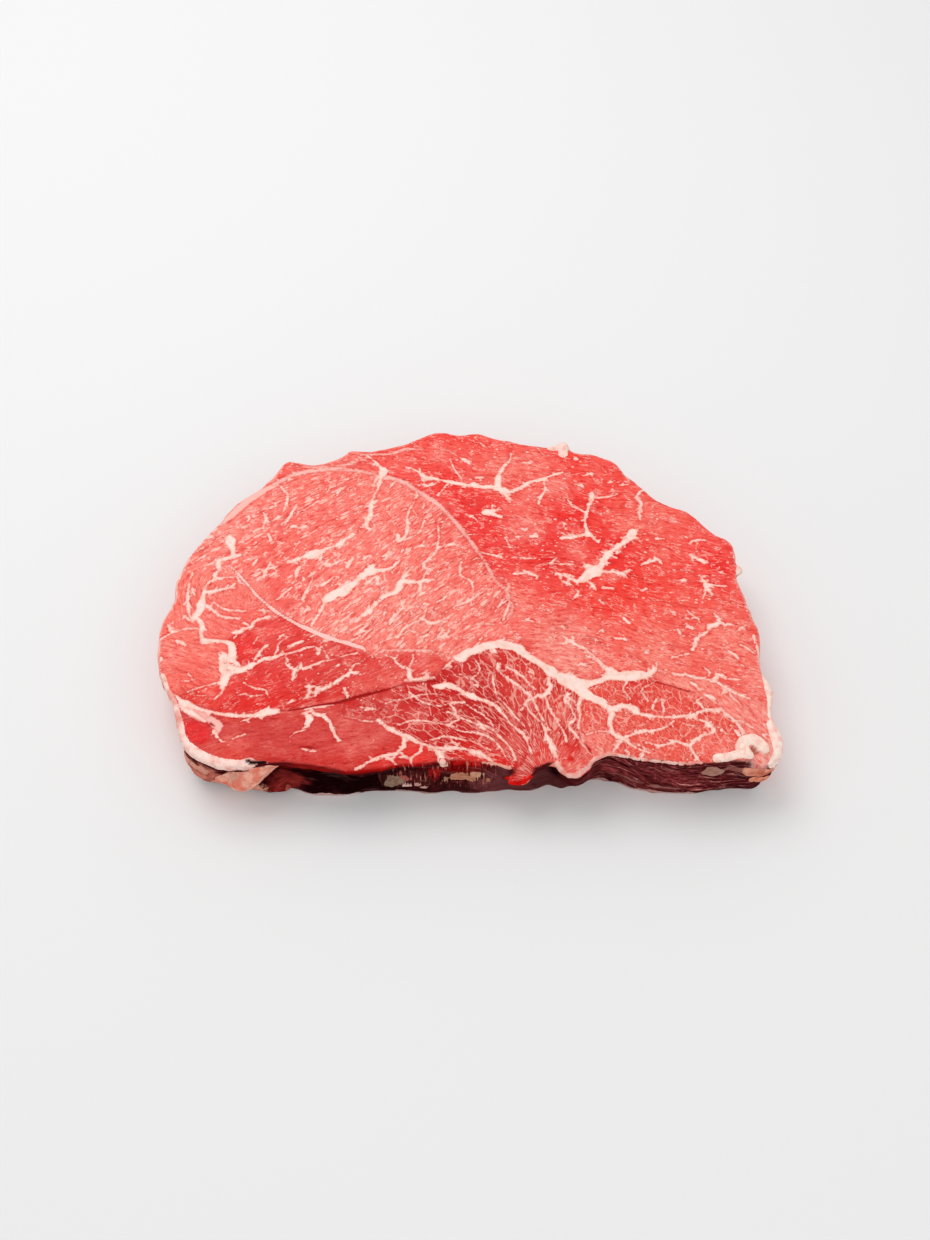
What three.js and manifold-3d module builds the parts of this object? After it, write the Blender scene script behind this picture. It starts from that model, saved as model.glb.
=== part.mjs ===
// A raw beef knuckle steak: one thick slice cut right across the muscle, lying on its broad side.
// Millimetres, +Z up. The origin is under the middle of the steak, on the surface that it lies on.
// +X runs to the right and +Y away from the viewer, so the ragged front edge faces -Y.
import * as THREE from "three";
import { ImprovedNoise } from "three/addons/math/ImprovedNoise.js";
import { mergeGeometries, mergeVertices } from "three/addons/utils/BufferGeometryUtils.js";
import Module from "manifold-3d";

// Driving dimensions
const steakWidth = 176;
const steakDepth = 120;
const thickness = 20;
const rimSoftness = 0.7; // how far the knife's edge between cut face and wall has slumped
const rimRaggedness = 0.35; // small nicks and bulges of the rim
const wallCragDepth = 0.9; // lumps and hollows of the torn wall
const faceWaviness = 0.35; // gentle unevenness of the cut face
const lumpRoughness = 0.16; // unevenness of the fat lumps, as a share of their size

// How finely the surface is divided
const sideCells = 50;
const wallLevels = 8;
const rimCells = 4 * sideCells;
const rimCrowding = 1.15; // above 1 draws the face's outer cells towards the rim

// Where the steak's four sides lie along its rim, as shares of the way round from the first knot
const rimSides = {
  right: [-0.096, 0.1],
  back: [0.1, 0.36],
  left: [0.36, 0.59],
  front: [0.59, 0.904],
};

// Places on the cut face are in percent of its half width and half depth, counted from a point a
// little in front of the steak's middle: deep runs from -98 at the front lip to 102 at the back.
const deepMiddle = 2;
const alongX = (across) => (across / 100) * (steakWidth / 2);
const alongY = (deep) => ((deep - deepMiddle) / 100) * (steakDepth / 2);

// The rim of the cut face, anticlockwise from the right-hand side: across, deep, and how many
// millimetres the foot of the wall stands out (or, below zero, in) from the rim above it.
const rightRim = [
  [96.6, -11, -1], [95, 0, -1], [93.8, 8, -1], [93.4, 16, -1.5], [94.2, 22, -1.5], [92, 31, -2], [87, 36, -2],
  [80, 48, -2], [70.5, 55, -2], [63.5, 65.5, -1.5], [58.3, 72.5, -1],
];
const backRim = [
  [55.3, 80.5, -1.5], [50, 84.7, -2], [38.5, 90, -2], [24, 94, -2.5], [12, 98.5, -2.5],
  [5, 101.6, -3], [-2, 100.6, -3], [-9, 102, -3], [-15, 98.3, -2.5], [-25, 91.5, -2],
  [-34, 89.6, -2], [-40.5, 90.5, -2.5], [-43.5, 85, -2], [-50, 81, -1.5], [-57, 80.5, -2],
  [-62.6, 81.8, -3],
];
const leftRim = [
  [-70.5, 65.5, -2], [-79, 55.5, -2], [-84.5, 42.5, -2], [-90, 31, -1.5], [-94.5, 19, -1.5],
  [-96.8, 5, -1.5], [-96.5, -5, -1.5], [-100, -20, -2], [-99.8, -32, -2.4], [-98, -46, -2.6],
  [-93, -60, -2.6], [-89.8, -73, -2.4], [-87.6, -82, -2],
];
const frontRim = [
  [-83.5, -88.6, -1.8], [-77.5, -92.6, -3], [-68, -94, -4.2], [-60, -92.4, -1.1], [-51, -92.2, 1],
  [-42, -94.2, 0.6], [-35, -95.6, -0.6], [-24, -93.4, 0], [-14, -91.6, 1.1], [0, -90.2, 2.1],
  [9, -91.8, 1.2], [16, -94, -1.8], [23, -94, -1.6], [29.4, -91.4, -1.4], [30.8, -95, -3],
  [33, -96.9, -4.2], [36, -97.2, -4.6], [38.6, -95.8, -3.8], [40.2, -92.6, -2.6], [41.6, -89.6, -1.4],
  [46, -87.4, -0.4], [52, -88.8, 0.4], [60, -90.8, 0.9], [67, -92, 1.2], [75, -92.4, 0.8],
  [84, -92.2, -0.2], [92, -92.6, -1], [97.6, -92, -2.6],
];
const frontRightRim = [
  [100.3, -84, -2.6], [100, -76, -1.8], [98.6, -66, -1.4], [100, -55, -2], [97.6, -45, -1.2],
  [97.4, -36, -1], [98.6, -24, -1.2],
];

// Muscles that swell or sink: across, deep, reach in millimetres, rise in millimetres
const swells = [
  [-32, 12, 34, 1.1], [48, 34, 30, 0.8], [62, -22, 26, 0.5], [-86, -30, 18, 0.6],
  [-52, -76, 20, -0.5], [4, -72, 24, -0.9], [60, -76, 22, -0.4], [-32, -102, 14, -1.4],
  [-14, -102, 11, -1.8], [3, -101, 11, -2.4], [35, -98, 6, -3.6], [19, -99, 6, -3], [96, -98, 9, -1.8],
  [-80, -98, 10, -1.4],
];

// Seams between the muscles, pressed into the face: places along each, depth and half width
const seams = [
  { path: [[-62, 72], [-42, 75], [-22, 70], [-9, 52], [2, 28], [11, 8], [13, -8]], deep: 0.5, half: 3.2 },
  { path: [[-78, 14], [-66, -6], [-50, -21], [-28, -36]], deep: 0.3, half: 3.2 },
  { path: [[-92, -58], [-76, -67], [-60, -66], [-40, -61], [-16, -50]], deep: 0.8, half: 3 },
  { path: [[-8, -52], [2, -56], [12, -66], [20, -84]], deep: 0.4, half: 3 },
  { path: [[-2, -39], [10, -32], [22, -38], [34, -49], [50, -46]], deep: 0.4, half: 3.2 },
  { path: [[34, -52], [46, -62], [62, -68], [78, -72]], deep: 0.5, half: 3 },
];

// Gaps that open where two muscles have parted: places along each, width and depth
const gaps = [
  { path: [[-57, -65.2], [-46, -62.5], [-35, -59.5], [-26, -56.5]], width: 1.3, deep: 3 },
  { path: [[62, -50.5], [68, -53], [74, -56]], width: 0.9, deep: 2.2 },
];

// Where the wall swells out or draws back: across, deep and height of the middle, reach along the
// wall and up it, and how far out, all four in millimetres
const wallSwells = [
  [-84, -86, 7, 7, 6, 1.6], [-88, -76, 9, 8, 6, 1.2], [-60, -95, 14, 6, 4, -2.6],
  [-42, -97, 11.5, 17, 8, -3], [-20, -94, 11.5, 12, 7, -2.2], [27, -92, 9, 8, 9, -1.8],
  [46, -89, 5, 10, 7, -0.8], [64, -93, 7, 14, 8, 0.8], [94, -92, 12, 8, 8, 0.8],
];

// Lumps of fat on the rim: place, height of the middle and half sizes
const lumps = {
  rightFatLow: { at: [99.8, -80], height: 16, size: [1.7, 5.4, 3.4] },
  rightFatHigh: { at: [99, -55], height: 16, size: [1.6, 4.2, 3.2] },
  rightTag: { at: [94.6, 14], height: 18, size: [1.5, 1.3, 1.1] },
  backFatNub: { at: [36.2, 91], height: 18.6, size: [1.9, 2.6, 2.1] },
  backFatNubLow: { at: [33.2, 90.5], height: 17.4, size: [1.8, 1.6, 1.6] },
};

// Flaps and folds with rounded ends: places along each with their heights, and half thicknesses
// sideways and upwards
const folds = {
  frontRightFatCurl: {
    path: [[77.8, -91, 19.4], [84, -89.6, 19.6], [89.4, -88.8, 19.6], [87.6, -84.6, 19.6], [90, -80.8, 19.6],
      [93.8, -82.4, 19.6], [95.6, -87, 19], [95.4, -92, 16.5]],
    width: 1.95,
    rise: 1.5,
    blunt: 0.55,
  },
  frontRightFold: {
    path: [[88, -93, 12], [92.5, -92, 14.5], [97, -90, 13], [99, -85, 12]],
    width: 2,
    rise: 2.6,
    blunt: 0.6,
  },
  frontLeftFlange: {
    path: [[-90.4, -68, 18.2], [-88, -78, 17.8], [-83.6, -86.4, 17.4], [-77.5, -91, 17], [-70.5, -92.8, 16.8],
      [-65.6, -91.8, 17.4]],
    width: 1.6,
    rise: 2.5,
    blunt: 0.55,
  },
  frontFatThumb: {
    path: [[-60.5, -90, 16.2], [-65.5, -92, 13.2], [-70.5, -93, 9.6], [-75, -93.2, 6]],
    width: 3.8,
    rise: 3.7,
    blunt: 0.6,
  },
  frontFatThumbTail: {
    path: [[-70, -91, 6.4], [-64.5, -91.6, 5.4], [-59.5, -92.4, 4.6], [-55, -92.6, 3.4]],
    width: 2.8,
    rise: 2.8,
    blunt: 0.6,
  },
  frontTongue: {
    path: [[24, -93.6, 16.2], [20.5, -95.6, 14.9], [17, -97, 13.8], [13.8, -98, 13]],
    width: 1.5,
    rise: 2.1,
    blunt: 0.7,
  },
  frontFatDrop: {
    path: [[-6.4, -88, 18.4], [-5.8, -90.6, 17.6], [-5.2, -92, 15.6]],
    width: 1.2,
    rise: 1.1,
    blunt: 0.7,
  },
};

const wasm = await Module();
wasm.setup();
const perlin = new ImprovedNoise();

// Noise from about -1 to 1, whose bumps are `size` millimetres across
const noise = (x, y, z, size) => 1.6 * perlin.noise(x / size + 11.3, y / size + 4.7, z / size + 7.9);

const spot = ([across, deep]) => new THREE.Vector2(alongX(across), alongY(deep));
const spotCurve = (path) => new THREE.SplineCurve(path.map(spot));

const rimKnots = [rightRim, backRim, leftRim, frontRim, frontRightRim].flat();
const rimCurve = new THREE.CatmullRomCurve3(
  rimKnots.map(([across, deep, spread]) => new THREE.Vector3(alongX(across), alongY(deep), spread)),
  true,
);
rimCurve.arcLengthDivisions = 2000;

// The rim at a share of the way round, with the wall's outward direction there
function rimAt(share) {
  const at = THREE.MathUtils.euclideanModulo(share, 1);
  const point = rimCurve.getPointAt(at);
  const ahead = rimCurve.getPointAt((at + 0.004) % 1);
  const behind = rimCurve.getPointAt((at + 0.996) % 1);
  const outward = new THREE.Vector2(ahead.y - behind.y, behind.x - ahead.x).normalize();
  const nick = rimRaggedness * noise(point.x, point.y, 0, 4.5);
  return { x: point.x + outward.x * nick, y: point.y + outward.y * nick, spread: point.z, outward };
}

// A place in a square, from -1 to 1 both ways, as a share of the way round the rim
function shareRound(u, v) {
  const reach = Math.max(Math.abs(u), Math.abs(v)) || 1;
  if (u === reach) return THREE.MathUtils.mapLinear(v / reach, -1, 1, ...rimSides.right);
  if (v === reach) return THREE.MathUtils.mapLinear(u / reach, 1, -1, ...rimSides.back);
  if (u === -reach) return THREE.MathUtils.mapLinear(v / reach, 1, -1, ...rimSides.left);
  return THREE.MathUtils.mapLinear(u / reach, -1, 1, ...rimSides.front);
}

// The wall's columns go round the square anticlockwise from its front right corner
function columnShare(column) {
  const side = Object.values(rimSides)[Math.floor(column / sideCells) % 4];
  return THREE.MathUtils.lerp(...side, (column % sideCells) / sideCells);
}

const seamSamples = seams.map(({ path, deep, half }) => ({
  points: spotCurve(path).getSpacedPoints(60),
  deep,
  half,
}));

// How high the cut face stands at a place; reach is 0 in its middle and 1 on the rim
function faceHeight(x, y, reach) {
  let height = thickness + faceWaviness * noise(x, y, 0, 9) + 0.5 * noise(x, y, 3, 30);
  for (const [across, deep, wide, rise] of swells) {
    const far = ((x - alongX(across)) ** 2 + (y - alongY(deep)) ** 2) / wide ** 2;
    height += rise * Math.exp(-2 * far);
  }
  const here = new THREE.Vector2(x, y);
  for (const { points, deep, half } of seamSamples) {
    const near = Math.min(...points.map((point) => point.distanceToSquared(here)));
    height -= deep * Math.exp(-near / half ** 2);
  }
  return height - rimSoftness * THREE.MathUtils.smoothstep(reach, 0.94, 1);
}

// The cut face: a grid whose square rim is drawn out to the steak's rim
function makeFace() {
  const face = new THREE.PlaneGeometry(2, 2, sideCells, sideCells);
  const position = face.attributes.position;
  for (let i = 0; i < position.count; i++) {
    const u = (Math.round((position.getX(i) * sideCells) / 2) / sideCells) * 2;
    const v = (Math.round((position.getY(i) * sideCells) / 2) / sideCells) * 2;
    const reach = 1 - (1 - Math.max(Math.abs(u), Math.abs(v))) ** rimCrowding;
    const rim = rimAt(shareRound(u, v));
    position.setXYZ(i, rim.x * reach, rim.y * reach, faceHeight(rim.x * reach, rim.y * reach, reach));
  }
  // Each cell is cut in two by the diagonal that points to the middle
  const corners = face.index.array;
  for (let i = 0; i < corners.length; i += 6) {
    const [a, b, d, , c] = corners.slice(i, i + 6);
    const [middleX, middleY] = [position.getX(a) + position.getX(c), position.getY(a) + position.getY(c)];
    if (middleX * middleY < 0) corners.set([a, b, c, a, c, d], i);
  }
  return face;
}

// How far the wall stands out from the rim, at a height from 0 at the foot to 1 at the rim
function wallReach(rim, rise) {
  const height = rise * thickness;
  const ease = Math.min(1, 4 * (1 - rise));
  let out = rim.spread * (1 - rise) ** 1.5 + 0.5 * Math.sin(Math.PI * rise);
  out += wallCragDepth * ease * noise(rim.x, rim.y, height, 7);
  out += 0.6 * wallCragDepth * ease * noise(rim.x, rim.y, height * 2, 3.4);
  for (const [across, deep, middle, wide, tall, swell] of wallSwells) {
    const far = ((rim.x - alongX(across)) ** 2 + (rim.y - alongY(deep)) ** 2) / wide ** 2;
    out += swell * Math.min(1, 3 * (1 - rise)) * Math.exp(-2 * far - 2 * ((height - middle) / tall) ** 2);
  }
  return out;
}

// The wall: an open tube whose rings follow the rim down to the foot
function makeWall() {
  const wall = new THREE.CylinderGeometry(1, 1, 1, rimCells, wallLevels, true);
  const position = wall.attributes.position;
  for (let i = 0; i < position.count; i++) {
    const column = i % (rimCells + 1);
    const rise = 1 - Math.floor(i / (rimCells + 1)) / wallLevels;
    const rim = rimAt(columnShare(column));
    const out = rise === 1 ? 0 : wallReach(rim, rise);
    const top = faceHeight(rim.x, rim.y, 1);
    position.setXYZ(i, rim.x + rim.outward.x * out, rim.y + rim.outward.y * out, top * rise);
  }
  return wall;
}

// The foot: the flat underside, inside the wall's lowest ring
function makeFoot() {
  const outline = [];
  for (let column = 0; column < rimCells; column++) {
    const rim = rimAt(columnShare(column));
    const out = wallReach(rim, 0);
    outline.push(new THREE.Vector2(rim.x + rim.outward.x * out, rim.y + rim.outward.y * out));
  }
  const foot = new THREE.ShapeGeometry(new THREE.Shape(outline));
  const corners = foot.index.array;
  for (let i = 0; i < corners.length; i += 3) {
    [corners[i + 1], corners[i + 2]] = [corners[i + 2], corners[i + 1]];
  }
  return foot;
}

// A closed geometry as a solid that can be joined and cut
function solidOf(geometry) {
  geometry.deleteAttribute("normal");
  geometry.deleteAttribute("uv");
  const merged = mergeVertices(geometry, 1e-3);
  return new wasm.Manifold(
    new wasm.Mesh({
      numProp: 3,
      vertProperties: merged.attributes.position.array,
      triVerts: new Uint32Array(merged.index.array),
    }),
  );
}

function geometryOf(solid) {
  const { vertProperties, triVerts } = solid.getMesh();
  return new THREE.BufferGeometry()
    .setAttribute("position", new THREE.BufferAttribute(vertProperties, 3))
    .setIndex(new THREE.BufferAttribute(triVerts, 1));
}

// An uneven ball of fat
function makeLump({ at, height, size }) {
  const lump = new THREE.SphereGeometry(1, 12, 8);
  const position = lump.attributes.position;
  for (let i = 0; i < position.count; i++) {
    const [x, y, z] = [position.getX(i), position.getY(i), position.getZ(i)];
    const swell = 1 + lumpRoughness * noise(x + at[0], y + at[1], z, 0.9);
    position.setXYZ(i, x * swell, y * swell, z * swell);
  }
  const where = spot(at);
  return lump.scale(...size).translate(where.x, where.y, height);
}

// A strand laid along a path, with rounded ends
function makeFold({ path, width, rise, blunt }) {
  const fold = new THREE.SphereGeometry(1, 8, 3 * path.length);
  const route = new THREE.CatmullRomCurve3(path.map(([across, deep, height]) =>
    new THREE.Vector3(alongX(across), alongY(deep), height)));
  const position = fold.attributes.position;
  for (let i = 0; i < position.count; i++) {
    const share = Math.acos(THREE.MathUtils.clamp(position.getY(i), -1, 1)) / Math.PI;
    const round = Math.hypot(position.getX(i), position.getZ(i)) || 1;
    const place = route.getPointAt(share);
    const along = route.getTangentAt(share);
    const aside = new THREE.Vector3(along.y, -along.x, 0).normalize();
    const over = new THREE.Vector3().crossVectors(along, aside);
    const swell = round ** (blunt - 1) * (1 + lumpRoughness * noise(place.x, place.y, place.z, 3));
    place.addScaledVector(aside, position.getX(i) * swell * width);
    place.addScaledVector(over, position.getZ(i) * swell * rise);
    position.setXYZ(i, place.x, place.y, place.z);
  }
  return fold;
}

// A wedge along a gap, wide at the face and closing as it goes down
function makeWedge({ path, width, deep }) {
  const clear = 2;
  const half = width / 2;
  const section = new THREE.Shape([
    new THREE.Vector2(-clear, -half), new THREE.Vector2(deep, 0), new THREE.Vector2(-clear, half),
  ]);
  const route = new THREE.CatmullRomCurve3(path.map((place) => new THREE.Vector3(...spot(place), thickness)));
  return new THREE.ExtrudeGeometry(section, { steps: 14, extrudePath: route });
}

const slabParts = [makeFace(), makeWall(), makeFoot()].map((geometry) => {
  geometry.deleteAttribute("normal");
  geometry.deleteAttribute("uv");
  return geometry;
});
let steak = solidOf(mergeGeometries(slabParts));
for (const lump of Object.values(lumps)) steak = steak.add(solidOf(makeLump(lump)));
for (const fold of Object.values(folds)) steak = steak.add(solidOf(makeFold(fold)));
for (const gap of gaps) steak = steak.subtract(solidOf(makeWedge(gap)));

const shape = geometryOf(steak);
shape.computeBoundingBox();
const middle = shape.boundingBox.getCenter(new THREE.Vector3());
shape.translate(-middle.x, -middle.y, 0);

const meat = new THREE.MeshStandardMaterial({ color: 0xd2504a, roughness: 0.4, metalness: 0 });
const steakMesh = new THREE.Mesh(shape, meat);
steakMesh.name = "beef_knuckle";

const knuckleSteak = new THREE.Group();
knuckleSteak.add(steakMesh);

export default knuckleSteak;
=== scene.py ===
import math
import bmesh
import bpy
import numpy as np
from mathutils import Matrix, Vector


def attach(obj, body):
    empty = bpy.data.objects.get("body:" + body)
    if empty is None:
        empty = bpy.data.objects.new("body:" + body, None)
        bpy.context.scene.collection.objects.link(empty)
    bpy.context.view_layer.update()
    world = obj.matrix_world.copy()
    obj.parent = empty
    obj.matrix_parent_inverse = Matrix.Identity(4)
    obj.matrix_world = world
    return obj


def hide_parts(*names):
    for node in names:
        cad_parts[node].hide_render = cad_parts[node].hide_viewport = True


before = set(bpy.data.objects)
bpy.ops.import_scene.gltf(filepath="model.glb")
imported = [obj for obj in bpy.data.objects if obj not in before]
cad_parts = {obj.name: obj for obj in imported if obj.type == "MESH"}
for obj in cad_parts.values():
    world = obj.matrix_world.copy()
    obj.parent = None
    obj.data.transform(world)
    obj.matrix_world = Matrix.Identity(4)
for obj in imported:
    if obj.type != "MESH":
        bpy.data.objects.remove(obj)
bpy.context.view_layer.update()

mm = 0.001


def shade(red, green, blue):  # a screen colour, 0 to 255, as Blender's linear colour
    parts = []
    for part in (red, green, blue):
        part = part / 255
        parts.append(part / 12.92 if part <= 0.04045 else ((part + 0.055) / 1.055) ** 2.4)
    return (*parts, 1.0)


# The body of the steak: the solid with its facets smoothed away, finest where the marbling is

steak = {
    "node": "beef_knuckle",
    "name": "knuckle_steak",
    "mergeWithin": 0.002,      # mm
    "voxel": 0.72,             # mm, the grain of the remeshed skin
    "smoothing": 5,            # passes that take the facets off
    "flatBelow": 0.6,          # mm: what faces down below this height is laid flat on the floor
    "thinOut": 6,              # how often the flat underside gives up points
    "busy": (-0.42, 0.34),     # mm inside a stroke of fat between which the skin is divided once more
    "nearSplit": -0.8,         # mm inside a split from which it is divided too
    "divideAbove": 9,          # mm
    "restsBelow": 1.5,         # mm: the edge that it stands on isn't smoothed again
    "halfAcross": 88.0,        # mm for 100 percent across
    "halfDeep": 60.0,          # mm for 100 percent deep
    "deepMiddle": 2.0,
    "offset": (-0.67, 0.327),  # mm, where the middle of the places lies in the frame
}


def place(across, deep):  # a place on the face, in percent, as millimetres in the frame
    x = across / 100 * steak["halfAcross"] + steak["offset"][0]
    y = (deep - steak["deepMiddle"]) / 100 * steak["halfDeep"] + steak["offset"][1]
    return x, y


def bakeModifiers(piece):
    graph = bpy.context.evaluated_depsgraph_get()
    graph.update()
    shaped = bpy.data.meshes.new_from_object(piece.evaluated_get(graph))
    piece.modifiers.clear()
    piece.data = shaped


def smoothPoints(work, points, passes):
    for _ in range(passes):
        bmesh.ops.smooth_vert(work, verts=points, factor=0.5,
                              use_axis_x=True, use_axis_y=True, use_axis_z=True)


def makeBody(fat, split):
    body = bpy.data.objects.new(steak["name"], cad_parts[steak["node"]].data.copy())
    bpy.context.collection.objects.link(body)
    work = bmesh.new()
    work.from_mesh(body.data)
    bmesh.ops.remove_doubles(work, verts=work.verts, dist=steak["mergeWithin"] * mm)
    work.to_mesh(body.data)
    work.free()
    remesh = body.modifiers.new("even skin", "REMESH")
    remesh.mode = "VOXEL"
    remesh.voxel_size = steak["voxel"] * mm
    bakeModifiers(body)
    print("body remeshed:", len(body.data.polygons), "faces")

    work = bmesh.new()
    work.from_mesh(body.data)
    smoothPoints(work, work.verts, steak["smoothing"])
    work.normal_update()
    under = [v for v in work.verts if v.co.z < steak["flatBelow"] * mm and v.normal.z < -0.9]
    for vertex in under:
        vertex.co.z = 0.0
    bmesh.ops.unsubdivide(work, verts=under, iterations=steak["thinOut"])
    work.normal_update()
    work.verts.index_update()
    places = np.array([v.co for v in work.verts]) / mm
    depth = fat.at(places[:, 0], places[:, 1])
    busy = (depth > steak["busy"][0]) & (depth < steak["busy"][1])
    busy |= split.at(places[:, 0], places[:, 1]) > steak["nearSplit"]
    busy &= np.array([v.normal.z > 0.3 for v in work.verts]) & (places[:, 2] > steak["divideAbove"])
    fine = [e for e in work.edges if busy[e.verts[0].index] and busy[e.verts[1].index]]
    bmesh.ops.subdivide_edges(work, edges=fine, cuts=1, use_grid_fill=True)
    smoothPoints(work, [v for v in work.verts if v.co.z > steak["restsBelow"] * mm], 1)
    bmesh.ops.recalc_face_normals(work, faces=work.faces)
    work.to_mesh(body.data)
    work.free()
    body.data.polygons.foreach_set("use_smooth", [True] * len(body.data.polygons))
    triangles = sum(len(face.vertices) - 2 for face in body.data.polygons)
    print("body divided:", len(body.data.vertices), "points,", triangles, "triangles")
    return body


# Painting tools

sheetGrid = {"step": 0.25, "left": -94.0, "front": -66.0, "rows": 529, "columns": 753}  # mm, and how many

brush = {
    "unsteady": 0.28,                 # how far a stroke's width varies, as a share
    "wander": 0.2,                    # mm, how far it strays from its path
    "plainUnsteady": 0.14,            # the same for skins, tendons and splits
    "plainWander": 0.08,
    "steadyFrom": 1.2,                # mm: a stroke with less than this half width comes out thinner,
    "thinnest": 0.6,                  # down to this share
    "twigWidth": 0.45,                # mm, half the width of a twig at its root
    "twigTip": 0.06,
    "twigTurn": (0.5, 1.3),           # how far it turns away from its vein
    "veinletSteps": (3, 7),
    "veinletStep": (0.5, 1.4),        # mm
    "veinletBend": 0.3,
    "veinletWidth": (0.35, 0.95),     # mm, the thinnest and how much more the thickest
}


class Sheet:  # a fine grid over the face that holds how deep each spot lies inside a stroke, in mm
    def __init__(self, reach):
        self.step = sheetGrid["step"]
        self.left = sheetGrid["left"]
        self.front = sheetGrid["front"]
        self.reach = reach
        self.inside = np.full((sheetGrid["rows"], sheetGrid["columns"]), -reach)

    def segment(self, start, end, startHalf, endHalf):
        pad = max(startHalf, endHalf) + self.reach
        low = np.minimum(start, end) - pad
        high = np.maximum(start, end) + pad
        columns = [int((edge - self.left) / self.step) for edge in (low[0], high[0])]
        rows = [int((edge - self.front) / self.step) for edge in (low[1], high[1])]
        columns = np.clip(columns, 0, self.inside.shape[1])
        rows = np.clip(rows, 0, self.inside.shape[0])
        x, y = np.meshgrid(self.left + self.step * np.arange(*columns),
                           self.front + self.step * np.arange(*rows))
        run = end - start
        along = ((x - start[0]) * run[0] + (y - start[1]) * run[1]) / max(run @ run, 1e-9)
        along = np.clip(along, 0, 1)
        away = np.hypot(x - start[0] - along * run[0], y - start[1] - along * run[1])
        patch = self.inside[rows[0]:rows[1], columns[0]:columns[1]]
        np.maximum(patch, startHalf + (endHalf - startHalf) * along - away, out=patch)

    def stroke(self, widths, path, chance, slimming, unsteady=brush["unsteady"], wander=brush["wander"]):
        line = smoothLine([place(*spot) for spot in path])
        share = np.linspace(0, 1, len(line))
        half = np.interp(share, np.linspace(0, 1, len(widths)), widths) / 2 * slimming
        least = brush["thinnest"]
        half = half * (least + (1 - least) * np.minimum(1, half / brush["steadyFrom"]))
        ticks = np.arange(len(line))
        knots = chance.normal(0, 1, (3, len(line) // 3 + 4))
        swing = [np.interp(ticks / 3, np.arange(knots.shape[1]), row) for row in knots]
        half = half * np.clip(1 + unsteady * swing[0], 0.45, 1.7)
        line = line + wander * np.stack(swing[1:], axis=1) * np.minimum(1, 0.4 + half)[:, None]
        for n in range(len(line) - 1):
            self.segment(line[n], line[n + 1], half[n], half[n + 1])
        return line, half

    def twigs(self, line, half, chance, every, length):  # small spikes of fat beside a vein
        for n in range(1, len(line) - 1):
            if half[n] < 0.3 or chance.random() > every:
                continue
            run = line[n + 1] - line[n]
            turn = math.atan2(run[1], run[0]) + chance.choice([-1, 1]) * chance.uniform(*brush["twigTurn"])
            reach = half[n] + chance.uniform(0.3, 1) * length
            tip = line[n] + reach * np.array([math.cos(turn), math.sin(turn)])
            self.segment(line[n], tip, min(half[n], brush["twigWidth"]), brush["twigTip"])

    def veinlet(self, spot, turn, width, chance):  # a short wandering vein with spikes
        line = [np.array(spot)]
        for _ in range(chance.integers(*brush["veinletSteps"])):
            turn += chance.normal(0, brush["veinletBend"])
            step = chance.uniform(*brush["veinletStep"])
            line.append(line[-1] + step * np.array([math.cos(turn), math.sin(turn)]))
        half = width / 2 * np.interp(np.linspace(0, 1, len(line)), (0, 0.45, 1), (0.15, 1, 0.1))
        half = half * chance.uniform(0.6, 1.4, len(line))
        for n in range(len(line) - 1):
            self.segment(line[n], line[n + 1], half[n], half[n + 1])
        return line, half + 0.15

    def at(self, x, y):  # the sheet's depth at any places, in mm
        column = np.clip((x - self.left) / self.step, 0, self.inside.shape[1] - 1.001)
        row = np.clip((y - self.front) / self.step, 0, self.inside.shape[0] - 1.001)
        c = column.astype(int)
        r = row.astype(int)
        u = column - c
        v = row - r
        low = self.inside[r, c] * (1 - u) + self.inside[r, c + 1] * u
        high = self.inside[r + 1, c] * (1 - u) + self.inside[r + 1, c + 1] * u
        return low * (1 - v) + high * v


def smoothLine(points, stepsEach=6):  # a curve through all the points
    points = np.array(points, float)
    if len(points) == 2:
        share = np.linspace(0, 1, max(4, int(np.hypot(*(points[1] - points[0])) / 0.8) + 2))
        return points[0] + share[:, None] * (points[1] - points[0])
    ends = np.vstack([2 * points[0] - points[1], points, 2 * points[-1] - points[-2]])
    line = []
    for n in range(1, len(ends) - 2):
        a, b, c, d = ends[n - 1:n + 3]
        for t in np.arange(stepsEach) / stepsEach:
            line.append(0.5 * (2 * b + (c - a) * t + (2 * a - 5 * b + 4 * c - d) * t ** 2
                               + (3 * b - a - 3 * c + d) * t ** 3))
    line.append(points[-1])
    return np.array(line)


def insideOutline(x, y, outline):  # mm inside a closed outline, below zero outside
    corners = np.array([place(*spot) for spot in outline])
    nearest = np.full(x.shape, 1e9)
    crossings = np.zeros(x.shape, bool)
    for a, b in zip(corners, np.roll(corners, -1, axis=0)):
        run = b - a
        along = np.clip(((x - a[0]) * run[0] + (y - a[1]) * run[1]) / (run @ run), 0, 1)
        nearest = np.minimum(nearest, np.hypot(x - a[0] - along * run[0], y - a[1] - along * run[1]))
        if a[1] != b[1]:
            spans = (a[1] > y) != (b[1] > y)
            crossings ^= spans & (x < a[0] + (y - a[1]) * run[0] / run[1])
    return np.where(crossings, nearest, -nearest)


def ease(value, start, end):  # 0 before start, 1 after end, smooth between
    t = np.clip((value - start) / (end - start), 0, 1)
    return t * t * (3 - 2 * t)


noiseSide = 32
noiseTable = np.random.default_rng(41).random((noiseSide, noiseSide, noiseSide))


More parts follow.
